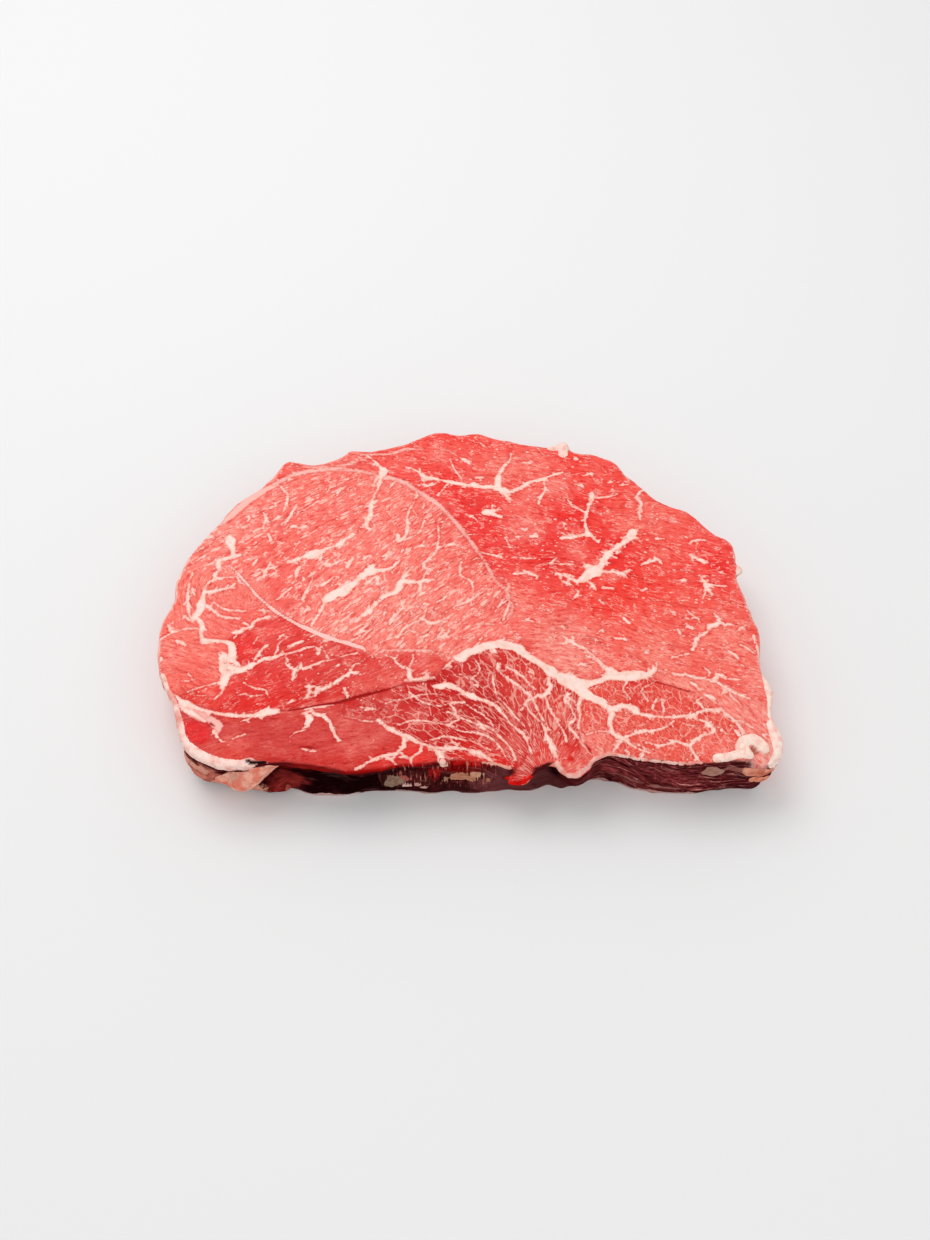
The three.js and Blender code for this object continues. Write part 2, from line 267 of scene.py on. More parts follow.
def lumps(x, y, z, size, seed):  # soft seeded noise from -1 to 1, with lumps of about this size in mm
    spots = [np.asarray(axis) / size + seed * step for axis, step in ((x, 7.31), (y, 3.17), (z, 5.77))]
    whole = [np.floor(spot).astype(int) for spot in spots]
    part = [spot - low for spot, low in zip(spots, whole)]
    part = [t * t * (3 - 2 * t) for t in part]
    total = 0
    for corner in range(8):
        bits = [(corner >> axis) & 1 for axis in range(3)]
        weight = 1
        for axis in range(3):
            weight = weight * (part[axis] if bits[axis] else 1 - part[axis])
        cell = tuple((low + bit) % noiseSide for low, bit in zip(whole, bits))
        total = total + weight * noiseTable[cell]
    return total * 2 - 1


# The muscles of the cut face. Places are in percent across and deep. Each vein is its widths in mm,
# spread along it, and its path. A daub is a place, how far it reaches in mm, and its colour. The grain is
# the fibres' angle, flecks say how many long and short ones there are, and the net is for thin fat cells.

roundMuscle = {
    "outline": [(-120, -120), (120, -120), (120, 120), (-120, 120)],
    "tint": (250, 122, 110),
    "daubs": [
        ((-88, 40), 11, (247, 140, 128)), ((-20, 0), 26, (249, 124, 112)), ((-14, -22), 14, (247, 128, 114)),
        ((-40, 60), 20, (249, 118, 106)), ((-8, 42), 9, (245, 108, 98)), ((-30, 84), 12, (246, 118, 106)),
        ((-62, 20), 14, (245, 100, 88)), ((-62, -4), 8, (243, 92, 84)), ((4, 20), 8, (244, 106, 95)),
        ((-15, -42), 6, (234, 84, 75)), ((-46, 46), 12, (246, 110, 99)), ((12, -10), 6, (240, 104, 94)),
    ],
    "grain": 42,
    "flatter": 16,  # its fibres lie flatter towards the upper left
    "veinlets": 135,
    "flecks": (1, 0.8),
    "veins": [
        ([1.7, 1.2, 1.9, 2.2, 1.2, 1.9, 1.8, 1.2],
         [(-59, 17.5), (-56, 19), (-53, 20.5), (-50, 21.5), (-46, 24), (-42.5, 26.5), (-40, 30),
          (-37.5, 33)]),
        ([0.9, 1.4, 1.9, 2.8, 2.9, 2.0, 2.2, 2.6, 1.4],
         [(-50, -20), (-47, -12), (-45.5, -6), (-43, -2.5), (-40, -0.5), (-36, 4), (-33.5, 8), (-31, 11),
          (-30, 14.5)]),
        ([2.0, 1.5, 1.2, 0.5], [(-32, 11), (-28, 11), (-25, 12), (-22, 15.5), (-21, 18)]),
        ([0.8, 0.4], [(-26, 11), (-26, 6), (-25.5, 4.5)]),
        ([0.8, 2.0, 1.4, 1.6, 1.9, 2.2, 1.6, 0.9],
         [(-35, -18), (-31, -12), (-28.5, -8), (-26, -4.5), (-22, -1), (-20, 4), (-14, 5), (-9, 6)]),
        ([1.4, 0.6], [(-19.5, 4), (-19, 9), (-16.5, 14)]), ([1.4, 0.5], [(-14, 4), (-14, 0), (-16.5, -4)]),
        ([1, 0.5], [(-13, 7), (-11.5, 12)]),
        ([1, 0.7], [(-13, 16), (-11, 19), (-8.5, 25), (-8, 30), (-8, 40)]),
        ([0.9, 0.6], [(-13, 16), (-12, 12), (-11, 9)]),
        ([0.8], [(0, 17), (-0.5, 12), (0.5, 8), (3, 6), (4, 2)]), ([1, 0.8], [(-48, 13), (-45, 18.5)]),
        ([1.6, 1.2], [(-39, 14), (-37, 18.5)]), ([1.3, 1], [(-47, 3), (-43, 8)]),
        ([1.2, 0.5], [(-53, -5), (-52, -1), (-50.5, 5), (-50, 8)]),
        ([0.7], [(-62, -5), (-59, -1), (-57, 2)]), ([1.2, 0.8], [(-39, -11), (-37, -7)]),
        ([0.7], [(-40, -18), (-36, -12)]), ([0.9], [(-67, 8), (-66, 13), (-65, 17)]),
        ([0.8], [(-71, 15), (-70, 19)]), ([0.6], [(-38, -24), (-30, -18)]),
        ([0.7], [(-33, -27), (-28, -19)]), ([0.9], [(-24, -20), (-19.5, -10)]),
        ([1.1, 0.8], [(-21, -27), (-19, -22), (-14, -17)]),
        ([1.4, 1, 0.8], [(-13, -16), (-10, -18.5), (-4, -15)]), ([0.8], [(-13, -16), (-11.5, -11)]),
        ([0.6], [(-27, -30), (-18, -24)]), ([0.6], [(-10, -29), (-6, -22)]),
        ([1, 0.7], [(-2, -9), (3, -5), (6, -2), (8, 1)]), ([0.7], [(3, -5), (3, -9)]),
        ([0.7], [(-9, 0), (-6, 3)]), ([0.7], [(-8, -7), (-5, -3)]), ([0.5], [(5, -19), (11, -19)]),
        ([0.7], [(14, -16), (16, -7), (15.5, -1)]), ([0.7], [(12, -9), (15, -6)]),
        ([0.9], [(-70, 50), (-68, 44), (-69, 38)]), ([1.1, 0.8], [(-66, 31), (-67, 35)]),
        ([1.1, 0.9], [(-64, 64), (-61, 58), (-62, 48)]), ([1.0, 0.7], [(-58, 52), (-60, 43), (-62, 41)]),
        ([0.8], [(-50, 55), (-57, 47)]),
        ([0.9, 2.6, 2.2, 1.6, 1.8], [(-80.5, 34), (-79.5, 30), (-78.5, 25), (-78, 21)]),
        ([1.6, 2.0, 1.4], [(-76, 21.5), (-79, 20), (-83, 19)]),
        ([1.6, 1.6, 1.0], [(-83, 19), (-82.5, 13), (-83.5, 9), (-81, 7)]),
        ([0.9, 1.2, 2.6], [(-34, 86), (-31, 81), (-28.5, 77), (-28, 74)]),
        ([1.6, 1.2, 0.9, 1.1, 1.9, 1.5, 0.9],
         [(-29, 73), (-29.5, 66), (-31, 58), (-31.5, 52), (-32, 46), (-33, 40), (-31.5, 36)]),
        ([0.5, 1, 1.2, 1.6], [(-16, 56), (-18, 50), (-19, 45), (-18.8, 38), (-19.5, 32), (-21, 29.5)]),
        ([0.8], [(-13, 43), (-14, 37), (-16, 33), (-20, 30)]), ([1.4], [(-22, 33), (-21.5, 29)]),
        ([0.5], [(-17, 49), (-15.5, 46), (-17, 44.5)]),
    ],
}

sideMuscle = {
    "outline": [
        (-66, 66), (-57, 74), (-36, 75), (-25, 70), (-15, 61), (-9, 54), (-1, 40), (5, 26), (10, 11),
        (15, 1), (17, -8), (16, -20), (12, -29), (19, -33), (27, -42), (36, -50), (48, -47), (62, -46),
        (70, -46), (82, -50), (92, -60), (104, -66), (125, 110), (-66, 110),
    ],
    "tint": (243, 74, 66),
    "daubs": [
        ((-48, 82), 15, (247, 118, 106)), ((-22, 84), 9, (246, 96, 86)), ((-4, 83), 7, (246, 100, 90)),
        ((5, 44), 14, (238, 50, 47)), ((-2, 66), 9, (240, 60, 55)), ((32, 32), 18, (237, 40, 38)),
        ((14, 76), 9, (246, 112, 100)), ((22, 56), 6, (246, 110, 100)), ((70, 40), 22, (246, 96, 85)),
        ((88, 20), 12, (247, 88, 82)), ((54, -10), 20, (245, 66, 55)), ((96, -52), 8, (247, 130, 118)),
        ((34, -34), 15, (247, 140, 127)), ((62, -36), 14, (247, 122, 108)), ((20, -6), 9, (247, 120, 107)),
        ((88, -30), 13, (248, 126, 112)), ((30, 6), 9, (242, 74, 66)), ((52, 22), 9, (240, 54, 50)),
        ((36, 50), 6, (240, 52, 48)), ((48, 84), 8, (242, 70, 62)), ((25, 80), 7, (248, 118, 106)),
        ((32, 64), 6, (248, 128, 116)), ((22, 38), 7, (248, 122, 110)), ((38.5, 22), 4.5, (247, 110, 100)),
        ((43, 49), 4.5, (236, 54, 50)), ((47, -6), 7, (243, 60, 50)), ((86, 16), 6, (243, 58, 54)),
        ((67, 50), 7, (247, 110, 98)), ((76, -9), 7, (247, 98, 86)), ((30, 18), 5.5, (228, 30, 28)),
    ],
    "grain": -12,
    "veinlets": 95,
    "thickest": 0.75,
    "flecks": (0.35, 0.8),
    "veins": [
        ([1.2, 2.2, 1.5, 1.4, 1.7, 2.4, 1.9, 2.2],
         [(60.8, 36), (59, 34), (57, 30), (55, 27), (52.5, 24), (50, 20.5), (48, 17), (46.5, 13)]),
        ([1.2, 0.9], [(59, 34), (59, 37)]), ([1.2, 0.5], [(49.5, 21), (47.5, 22.8)]),
        ([1.2, 0.5], [(50.5, 20), (52.8, 18.6)]), ([2.0, 1.6, 1.1], [(46.5, 13), (44, 13.4), (41.6, 14.4)]),
        ([2.4, 2.8, 1.6], [(46, 12), (43, 9.5), (40.4, 6.6)]),
        ([2.4, 1.8, 1.2], [(46, 10), (42.4, 6.4), (38, 4.8)]),
        ([1.4, 1, 1.2, 0.5], [(47, 10.5), (51, 10.5), (54, 9.5), (56, 7)]),
        ([1.2, 0.5], [(54, 10), (58, 11.5)]), ([1.0], [(38, 6), (34, 9), (32, 9.5)]),
        ([1.0], [(33, 9), (34, 5), (37, 3)]),
        ([1.2, 1.6, 1.2, 1.4, 1.4, 2.2], [(46, 60), (45.5, 55), (44, 49), (43, 44), (43, 38), (43.5, 33)]),
        ([1, 0.5], [(45.5, 57), (50, 57), (55, 60)]), ([1.6, 1], [(43.5, 33), (38, 31.5), (34, 31.5)]),
        ([1.3, 0.8], [(43.5, 34), (46, 30), (47, 28)]), ([0.8], [(43, 47), (39, 51), (37, 56)]),
        ([1, 1.2, 0.9, 1.4, 0.6], [(65, 64), (62, 60), (61.5, 56), (63, 53), (62, 49), (62, 42)]),
        ([0.9, 1.6, 1.3, 1.5, 1.7, 2.2, 1.9, 2.3],
         [(-15, 76), (-14, 71), (-10, 69.5), (-4, 67), (2, 65.5), (6, 64), (11, 64), (14, 62)]),
        ([1.8, 1.2, 1.5, 1.2, 1.5, 1.2, 1.3],
         [(14, 62), (17, 61), (21, 63.5), (24, 67), (28, 68.5), (31, 71), (36, 73.5)]),
        ([2.4, 1.8, 1.4, 0.9, 0.7], [(13, 63), (13, 69), (14, 75), (16.5, 81), (18, 86)]),
        ([1.6, 0.7], [(14, 61), (16, 57.5), (17, 54)]), ([0.8], [(-14, 70), (-13, 65), (-9, 66)]),
        ([0.7], [(-5, 66), (-7, 61), (-9, 58)]), ([0.6], [(-4, 82), (-3, 77), (-1, 72), (0, 69)]),
        ([0.8], [(-20, 77), (-16, 74.5), (-13, 71)]),
        ([0.8, 1.2], [(29, 68), (29.5, 62), (28, 58), (27, 53)]),
        ([2.2, 1], [(8, 48), (10, 47), (14, 44.5)]), ([0.7], [(11, 52), (10, 48)]),
        ([1.1], [(61, 15), (64, 17), (66.5, 19), (68, 16)]), ([1.1, 0.8], [(67, 31), (70, 31.5)]),
        ([1.2], [(78, 22), (80, 20), (82, 18), (83, 17)]),
        ([1.8, 0.7, 0.5], [(82.5, 3.5), (86, 3.4), (90, 3.2)]), ([1.5, 0.5], [(82.5, 3.5), (80.5, 10)]),
        ([1.5, 0.6], [(82.5, 3.5), (81, -4)]), ([1.4, 0.5], [(82.5, 3.5), (84, -3)]),
        ([1.2, 0.9], [(62, 1), (60, 0)]),
        ([0.8, 1.6, 1.2, 1.4, 1], [(84, -13), (85.5, -17), (82, -21), (80, -25), (77.5, -26.5), (76.5, -31),
                                   (75.5, -34)]),
        ([1.2, 0.7], [(85.5, -17), (87, -19), (90, -19)]), ([1], [(75, -12), (78, -16), (79, -18)]),
        ([0.9], [(74, -19), (76, -22)]), ([0.9], [(71, -22), (72, -24)]), ([1.0], [(54, -16), (56, -19)]),
        ([0.9], [(50, -27), (54, -28)]), ([1], [(46, -6), (48, -8.5)]), ([0.7], [(91, -31), (96, -35)]),
        ([0.7], [(87, -34), (90, -38)]), ([0.8], [(68, -38), (74, -36)]),
        ([1, 0.6], [(30, 15.3), (38, 15)]), ([0.9, 0.7], [(18, 10), (24, 10.5)]),
        ([0.8], [(7, 23.5), (12, 21.5), (14, 20)]), ([1.4, 1], [(24, 32.5), (26, 32.5)]),
        ([0.7], [(17, 20), (25, 19.5)]),
    ],
}

wedgeMuscle = {
    "outline": [
        (-28, -37), (-36, -31), (-48, -24), (-60, -13), (-66, -17), (-72, -22), (-77, -28), (-76, -36),
        (-77, -50), (-82, -53), (-92, -57), (-84, -64), (-75, -68), (-59, -66), (-57, -65), (-17, -51),
        (-8, -48.5), (-4.5, -42), (-5, -37.5), (-12, -36), (-20, -36),
    ],
    "tint": (224, 54, 48),
    "daubs": [((-62, -22), 7, (238, 80, 72)), ((-70, -33), 5, (238, 46, 42)),
              ((-80, -55), 7, (240, 74, 64)), ((-66, -58), 9, (232, 48, 43)),
              ((-38, -42), 9, (222, 66, 59)), ((-24, -46), 8, (229, 78, 70)), ((-10, -42), 6, (238, 98, 88))],
    "grain": 27,
    "veinlets": 14,
    "flecks": (0.3, 0.6),
    "veins": [
        ([1.6, 2.1, 2.2, 1.9, 1.4], [(-76.4, -29.6), (-75, -32), (-74.4, -35.6), (-73.8, -39.4),
                                     (-72, -42.6)]),
        ([0.9, 1.6, 1.7, 2.2, 2.5, 2.2, 1.2],
         [(-79.4, -35.5), (-78.2, -38.5), (-77.6, -42), (-77, -45), (-76, -48), (-76.4, -50.5),
          (-77.2, -53)]),
        ([1.5, 1.3], [(-77.6, -37), (-75, -39.5)]), ([1.4, 1.2], [(-77, -42.4), (-74, -41.5)]),
        ([1.8, 1.6, 1.6], [(-76, -47.4), (-73, -46), (-70, -44.4)]),
        ([0.8, 0.5], [(-60, -34), (-60, -30), (-57, -26)]), ([1.2, 0.9], [(-56.4, -31.6), (-52, -28.6)]),
        ([0.7, 0.5], [(-50, -26), (-45, -24)]), ([0.7, 0.5], [(-68, -30), (-67, -26)]),
        ([1.5, 1.9, 1.7, 1.2, 1.0, 0.6],
         [(-77, -42.5), (-73, -43.8), (-69.6, -43.6), (-66.5, -40.6), (-61, -37.5), (-54, -34.5),
          (-48, -31.5)]),
        ([0.8], [(-67, -39), (-65, -33), (-63.5, -31)]), ([0.5], [(-61, -37), (-60, -32)]),
        ([1.2, 0.8], [(-76.5, -51), (-77, -57)]), ([0.7], [(-77, -57), (-79, -60)]),
        ([0.9, 0.5], [(-77, -51), (-82, -53), (-88, -56)]),
        ([0.8, 1, 0.5], [(-57, -41), (-55, -43.5), (-52.5, -44), (-48, -42), (-45, -40), (-40, -38),
                         (-34, -35)]),
        ([0.8], [(-52.5, -44), (-52, -41)]), ([0.8, 0.4], [(-52.5, -44), (-53.5, -48), (-55, -50)]),
        ([0.5], [(-58, -35), (-56, -41)]),
        ([1, 1.4, 0.8], [(-47, -58), (-46.5, -55), (-43, -53.5), (-41, -51), (-38, -48), (-36, -46),
                         (-33, -47)]),
        ([0.9, 0.5], [(-36, -46), (-35, -42), (-33, -41)]), ([0.8], [(-50, -53.5), (-43, -53.5)]),
        ([0.9, 0.6], [(-70, -51), (-66, -54.5), (-63, -55.5), (-62, -58.5)]),
        ([0.6], [(-46, -31), (-44, -36), (-43, -39)]),
    ],
}

leftLobe = {
    "outline": [(-104, -18), (-97, -20), (-88, -22), (-84, -29), (-75, -30), (-77, -50), (-90, -58),
                (-104, -50)],
    "tint": (247, 112, 98),
    "daubs": [((-86, -50), 8, (244, 96, 84)), ((-96, -36), 7, (247, 122, 110))],
    "grain": -18,
    "veinlets": 9,
    "flecks": (0.3, 0.5),
    "veins": [
        ([1], [(-97, -19), (-95, -23.5), (-91, -22), (-87, -22)]), ([0.8], [(-99, -27), (-95, -23.5)]),
    ],
}

whorl = {
    "outline": [(-97, 12), (-84, 10), (-72, 8), (-64, 0), (-60, -10), (-66, -17), (-73, -24), (-77, -29),
                (-84, -28), (-90, -20), (-98, -18)],
    "tint": (247, 116, 103),
    "daubs": [((-68, -20), 6, (241, 78, 70)), ((-80, -20), 5, (245, 102, 92))],
    "grain": "round",
    "middle": (-72, 2),
    "veinlets": 8,
    "flecks": (0.35, 0.5),
    "veins": [
        ([1.0], [(-91.5, 11), (-92, 0), (-91, -10), (-90, -15), (-87, -17)]),
        ([1.6, 2.0], [(-86, -0.5), (-87, -9)]),
        ([2.2, 1.6, 1.4], [(-87, -10), (-88, -15), (-86, -19), (-86, -24), (-84, -28.5), (-76, -29.5)]),
        ([1.2, 0.9, 0.6], [(-87, -1), (-85, 5), (-81, 8), (-75, 9)]),
        ([1.4, 1.1, 0.8], [(-86.4, -1), (-83, 0.2), (-79, 1.2), (-76.5, 4)]),
        ([1, 0.9, 0.7], [(-85, -9), (-80, -14), (-74, -15.5)]),
        ([0.7], [(-83, -7), (-78, -11), (-72, -11)]),
        ([1.5, 1.4, 1.5, 1.1, 0.9], [(-74.6, -24.4), (-71.5, -22), (-69.4, -20.2), (-68.2, -17), (-64, -14)]),
    ],
}

darkMuscle = {
    "outline": [
        (-92, -58), (-75, -68), (-59, -66), (-45, -62), (-17, -51), (-38, -68), (-26, -71), (-18, -79),
        (-8, -86), (-5, -95), (-5, -110), (-100, -110), (-100, -60),
    ],
    "tint": (212, 62, 56),
    "daubs": [((-60, -76), 9, (208, 56, 51)), ((-36, -90), 9, (217, 66, 59)),
              ((-72, -88), 6, (224, 72, 62)), ((-14, -90), 6, (238, 60, 52)), ((-24, -93), 4, (232, 48, 43))],
    "grain": 7,
    "veinlets": 4,
    "thickest": 0.3,
    "flecks": (0, 0.35),
    "veins": [
        ([1, 1.4, 0.5], [(-50, -64), (-46, -63), (-41, -61.8)]), ([1], [(-51, -67), (-48, -65)]),
        ([1, 1.6, 0.9], [(-49.5, -66), (-48.5, -70), (-48.8, -74.5)]),
        ([0.7, 0.3], [(-49, -75), (-52, -77), (-54, -79.5)]),
        ([1, 1.3, 0.9], [(-47, -67), (-44, -68.5), (-42, -71), (-41, -75), (-39.5, -79), (-38.5, -82)]),
        ([0.5, 0.8], [(-38, -68), (-34, -70), (-30, -71.5), (-26, -71.5)]),
        ([1.1, 1.5, 1.4, 1.4, 2.0], [(-26, -71.5), (-22.5, -75), (-19, -78.5), (-14, -81), (-10, -84),
                                     (-7, -86.5), (-6, -90), (-5.5, -93)]),
        ([1.0, 1.2, 0.9], [(-18, -80), (-18.5, -84), (-20.5, -87), (-25, -89), (-29, -91.5), (-33, -94.5)]),
        ([0.8, 0.5], [(-24, -88.5), (-20.5, -91.5), (-20, -94)]),
        ([0.8], [(-12.5, -83), (-13, -86.5), (-16, -89), (-19, -88.5)]),
        ([0.6], [(-16, -89), (-15.5, -92)]),
        ([1.4, 1.2, 1, 1.2], [(-8, -85), (-4, -84.3), (0, -84.5), (4, -86), (8, -89), (10, -92), (13, -95)]),
        ([0.6, 1.0, 0.5], [(-50, -85.4), (-48, -86), (-45.4, -86.3)]), ([0.8], [(-72, -81), (-68, -78.5)]),
    ],
}

fanMuscle = {
    "outline": [
        (-38, -58), (-17, -51), (-9, -48), (-6, -43), (1, -35), (11, -30), (19, -33), (27, -42), (35, -50),
        (39, -57), (37, -68), (38, -85), (41, -92), (35, -110), (-5, -110), (-5, -95), (-8, -86), (-18, -79),
        (-26, -71), (-38, -68),
    ],
    "tint": (203, 36, 33),
    "daubs": [((30, -92), 8, (238, 64, 54)), ((12, -92), 5, (232, 42, 37)), ((20, -50), 10, (222, 66, 58)),
              ((-24, -62), 8, (208, 54, 48)), ((4, -90), 7, (232, 50, 43)), ((35, -90), 3.5, (222, 28, 26)),
              ((30, -64), 7, (226, 80, 70)), ((6, -66), 9, (192, 26, 24))],
    "grain": "fan",
    "middle": (27, -99),
    "crosscut": 1.4,
    "slimming": 0.78,
    "veinlets": 22,
    "flecks": (0.1, 0.7),
    "net": 1.0,
    "veins": [
        ([1.6, 2.2, 1.9, 1.3, 1.1, 1.0, 0.7],
         [(-9, -53), (-5, -52.3), (-2, -53.5), (2, -56.5), (5, -59), (8, -60), (11, -63), (13, -66),
          (14.5, -70), (17, -74), (19.5, -78), (21, -83), (22, -88)]),
        ([0.9, 1.0, 1.3, 2.0, 1.5], [(-22, -38), (-20.8, -41.5), (-18, -43.5), (-16.8, -46), (-16.6, -49)]),
        ([0.8], [(-17.5, -43.5), (-16, -40), (-15.8, -36)]),
        ([1.3, 1.0], [(-16.6, -49), (-12, -48.8), (-8.5, -48)]),
        ([0.6], [(-25, -36), (-22, -38), (-20.5, -36)]),
        ([0.7, 0.9], [(-17, -56), (-14, -60), (-11, -62.5), (-7, -63.5), (-3, -61.5), (1, -61)]),
        ([0.8], [(-4, -62), (-2, -66), (-1, -70), (-4, -72.5)]),
        ([0.7, 1.0, 0.8], [(-20, -73), (-15, -71), (-9, -72), (-4, -73.5), (0, -76), (5, -77), (9, -79.5),
                           (12, -84), (14, -89)]),
        ([0.7], [(-10, -81), (-5, -79), (0, -80), (5, -82), (9, -86)]),
        ([0.8], [(-5, -66), (0, -69), (5, -72), (9, -74), (12, -79), (15, -84), (17, -90)]),
        ([0.7], [(0, -60), (4, -65), (8, -69), (10, -73)]),
        ([0.8], [(10, -48), (11, -56), (14, -62), (17, -68), (20, -74)]),
        ([1.2, 1, 0.8], [(12, -41), (12, -45), (15, -49), (19, -53), (22, -58), (24, -64), (26, -70),
                         (28, -76)]),
        ([0.9], [(15, -43), (19, -47), (22, -52), (24, -55)]),
        ([0.8, 0.9, 1.8], [(20, -60), (22, -66), (25, -72), (27, -78), (28, -84)]),
        ([1.4, 2.2, 0.8], [(27, -80), (28.5, -85), (30, -90)]),
        ([1.2, 1.6, 1.4], [(28, -48), (28.5, -53), (27, -57), (24.5, -57.5)]),
        ([0.9], [(24.5, -57.5), (21, -61), (19, -65)]),
        ([0.9], [(27, -58), (28, -64), (30, -70), (32, -76), (33, -82)]),
        ([1.0], [(33, -60), (35, -64), (36, -70), (34, -73), (36, -78), (38, -84)]),
        ([0.7], [(-24, -62), (-18, -60), (-12, -57), (-6, -57)]), ([0.6], [(4, -38), (6, -44), (3, -49)]),
    ],
}

cellMuscle = {
    "outline": [
        (35, -50), (48, -47), (62, -46), (66, -52), (75, -57), (86, -70), (90, -79), (90, -110), (41, -110),
        (38, -85), (37, -68), (39, -57),
    ],
    "tint": (232, 82, 68),
    "daubs": [((46, -72), 7, (234, 86, 74)), ((56, -54), 7, (225, 64, 57)), ((66, -62), 7, (234, 82, 71)),
              ((62, -88), 9, (240, 96, 82)), ((80, -86), 7, (243, 104, 91)), ((44, -86), 6, (246, 124, 112))],
    "grain": -60,
    "crosscut": 2.4,  # its fibres are cut across, so they show short
    "veinlets": 24,
    "flecks": (0.1, 0.8),
    "net": 0.6,
    "veins": [
        ([2.2, 1.2, 1, 1.2, 0.5], [(50, -46), (47, -43), (44, -38.5), (40, -33), (36, -28.5), (33, -25.5)]),
        ([1.2, 1], [(79, -75), (79.5, -77.5), (76, -78.5), (73.5, -81), (71, -84)]),
        ([1.1, 1], [(71, -84), (67, -81.5), (65, -83.5), (62, -84), (58, -82)]),
        ([1], [(71, -84), (72.5, -88), (74, -91.5)]),
        ([1.6, 1.2], [(47, -63), (47.5, -68), (47, -74), (49, -78.5), (51, -80)]),
        ([1.2, 0.7], [(39, -57), (37.5, -63), (38, -68), (37, -74), (38, -80), (39, -85)]),
        ([0.6], [(38, -79), (42, -77), (46, -77), (48, -79)]),
        ([1.3, 0.5], [(51, -80), (55, -77.5), (60, -76), (65, -74), (67, -71)]),
        ([1, 0.7], [(51, -80), (49, -84), (48, -87), (52, -89)]),
        ([1, 0.6], [(51, -80), (54, -84), (59, -87.5)]), ([0.7], [(63, -59), (61, -64)]),
        ([0.6], [(54, -49), (52, -54), (54, -59)]), ([0.6], [(62, -51), (58, -55), (60, -60)]),
    ],
}

rightStrip = {
    "outline": [(62, -46), (82, -50), (92, -60), (104, -66), (104, -110), (90, -110), (90, -79), (86, -70),
                (75, -57), (66, -52)],
    "tint": (248, 130, 116),
    "daubs": [((92, -72), 8, (249, 136, 124))],
    "grain": -42,
    "veinlets": 10,
    "flecks": (0.5, 0.5),
    "veins": [
        ([1], [(68, -46.5), (73, -47.5), (78, -49), (82, -50.5), (85, -54), (88, -57), (92, -60)]),
        ([1.4, 0.6], [(81, -50), (83, -47), (86, -48.5), (90, -49.3)]),
        ([1, 0.5], [(84.5, -54), (86.5, -59), (89, -63.5)]),
        ([1, 1.2, 0.8], [(73, -69), (76, -66), (80, -65.5), (83, -66.5), (86, -71), (88, -75), (90, -79)]),
        ([0.7], [(77, -65), (75, -61.5), (77, -59)]), ([0.7], [(88, -71), (93, -76)]),
    ],
}

muscles = [  # each one lies over those before it
    roundMuscle, sideMuscle, whorl, leftLobe, wedgeMuscle, darkMuscle, fanMuscle, cellMuscle, rightStrip,
]

# Thick fat between the muscles, and the flange of fat along the left rim
seamFat = {
    "veins": [
        ([0.6, 1.4, 2.4, 2.6, 3.0, 3.1, 2.9, 2.5, 2.4, 2.6, 3.2, 4.3, 3.8],
         [(-6, -44), (-3, -39), (0, -37), (3, -34), (7, -31.5), (11, -30), (15, -31), (19, -33.5),
          (23, -38), (27, -42), (31, -46), (35, -50), (38, -53)]),
        ([1.8, 0.9, 0.5], [(3, -34), (5, -30), (7, -26)]),
        ([3.6, 2.6, 2.4, 2.9, 3.2, 2.4, 1.3, 0.8],
         [(35, -50), (40, -51), (45, -49.6), (50, -47.2), (56, -47), (60, -46.4), (63, -44), (63.5, -40.5)]),
        ([3.8, 2.4, 2.0, 1.8, 1.5, 2.0, 1.1, 0.9, 1.0, 1.3, 1.1],
         [(38, -53), (41, -57), (45, -61), (47, -63.5), (51, -63), (54, -63), (57, -67), (62, -68.5),
          (68, -68.3), (73, -69), (77, -71.5), (79, -75)]),
        ([1.0, 1.8, 1.8, 1.5, 1.3, 1.3, 1.5, 2.2, 2.4, 1.4],
         [(-96, -52), (-93, -56.5), (-89.6, -60.6), (-85.6, -63.8), (-79.5, -66), (-74, -67.8),
          (-69.8, -68.5), (-66, -67.4), (-62, -66.2), (-58.4, -65.8)]),
        ([1, 1.4, 0.8], [(-90, -63), (-85, -68), (-81, -71)]),
        ([1, 0.5], [(-78, -76), (-76, -81), (-74, -82)]),
        ([1.0, 2.0, 2.4, 2.4, 2.0, 1.6],
         [(-96, -52), (-93.6, -59), (-91.6, -65), (-90, -71), (-88.6, -76), (-87.6, -80)]),
    ],
}

# Thin skins between the muscles: paler than meat, pinker than fat
skins = {
    "veins": [
        ([2.6, 3.6, 3.8, 3.6, 3.0, 2.4], [(-84, 42), (-80, 48), (-76, 55), (-71, 61), (-66, 66), (-62, 71)]),
        ([2.4, 1.8, 1.5], [(-62, 71), (-57, 74), (-50, 76), (-42, 76), (-36, 75), (-32, 73.5)]),
        ([2.4, 2.0, 1.5, 1.2], [(-30, 72), (-25, 70.5), (-20, 67), (-15, 61), (-9, 54), (-5, 47.5),
                                (-1, 40), (2, 33), (5, 26), (8, 18), (10, 11), (12, 5), (15, 1), (16, -6)]),
        ([0.9], [(-27, -34.5), (-20, -34), (-12, -34), (-6, -36)]),
        ([1.6, 1.8, 1.2], [(-18, -49.5), (-13, -49.3), (-9, -48)]),
        ([1.6, 1.2, 1.6, 2.0, 0.8], [(-36, 86), (-28, 86.5), (-24, 87), (-20, 89.5), (-14, 89)]),
        ([0.8], [(-60, 78), (-50, 78), (-42, 79), (-36, 84)]), ([0.6], [(-45, 76.5), (-39, 80), (-33, 84)]),
        ([1.2, 0.8], [(63.5, -44), (66, -46)]),
        ([2.4, 4.6, 4.4, 1.6], [(-92, -60), (-86, -66), (-80, -70), (-77, -74), (-77, -79)]),
        ([1.0, 0.7, 0.8], [(13, 9), (16, 4), (15, -3), (17, -10), (14, -18)]),
    ],
}

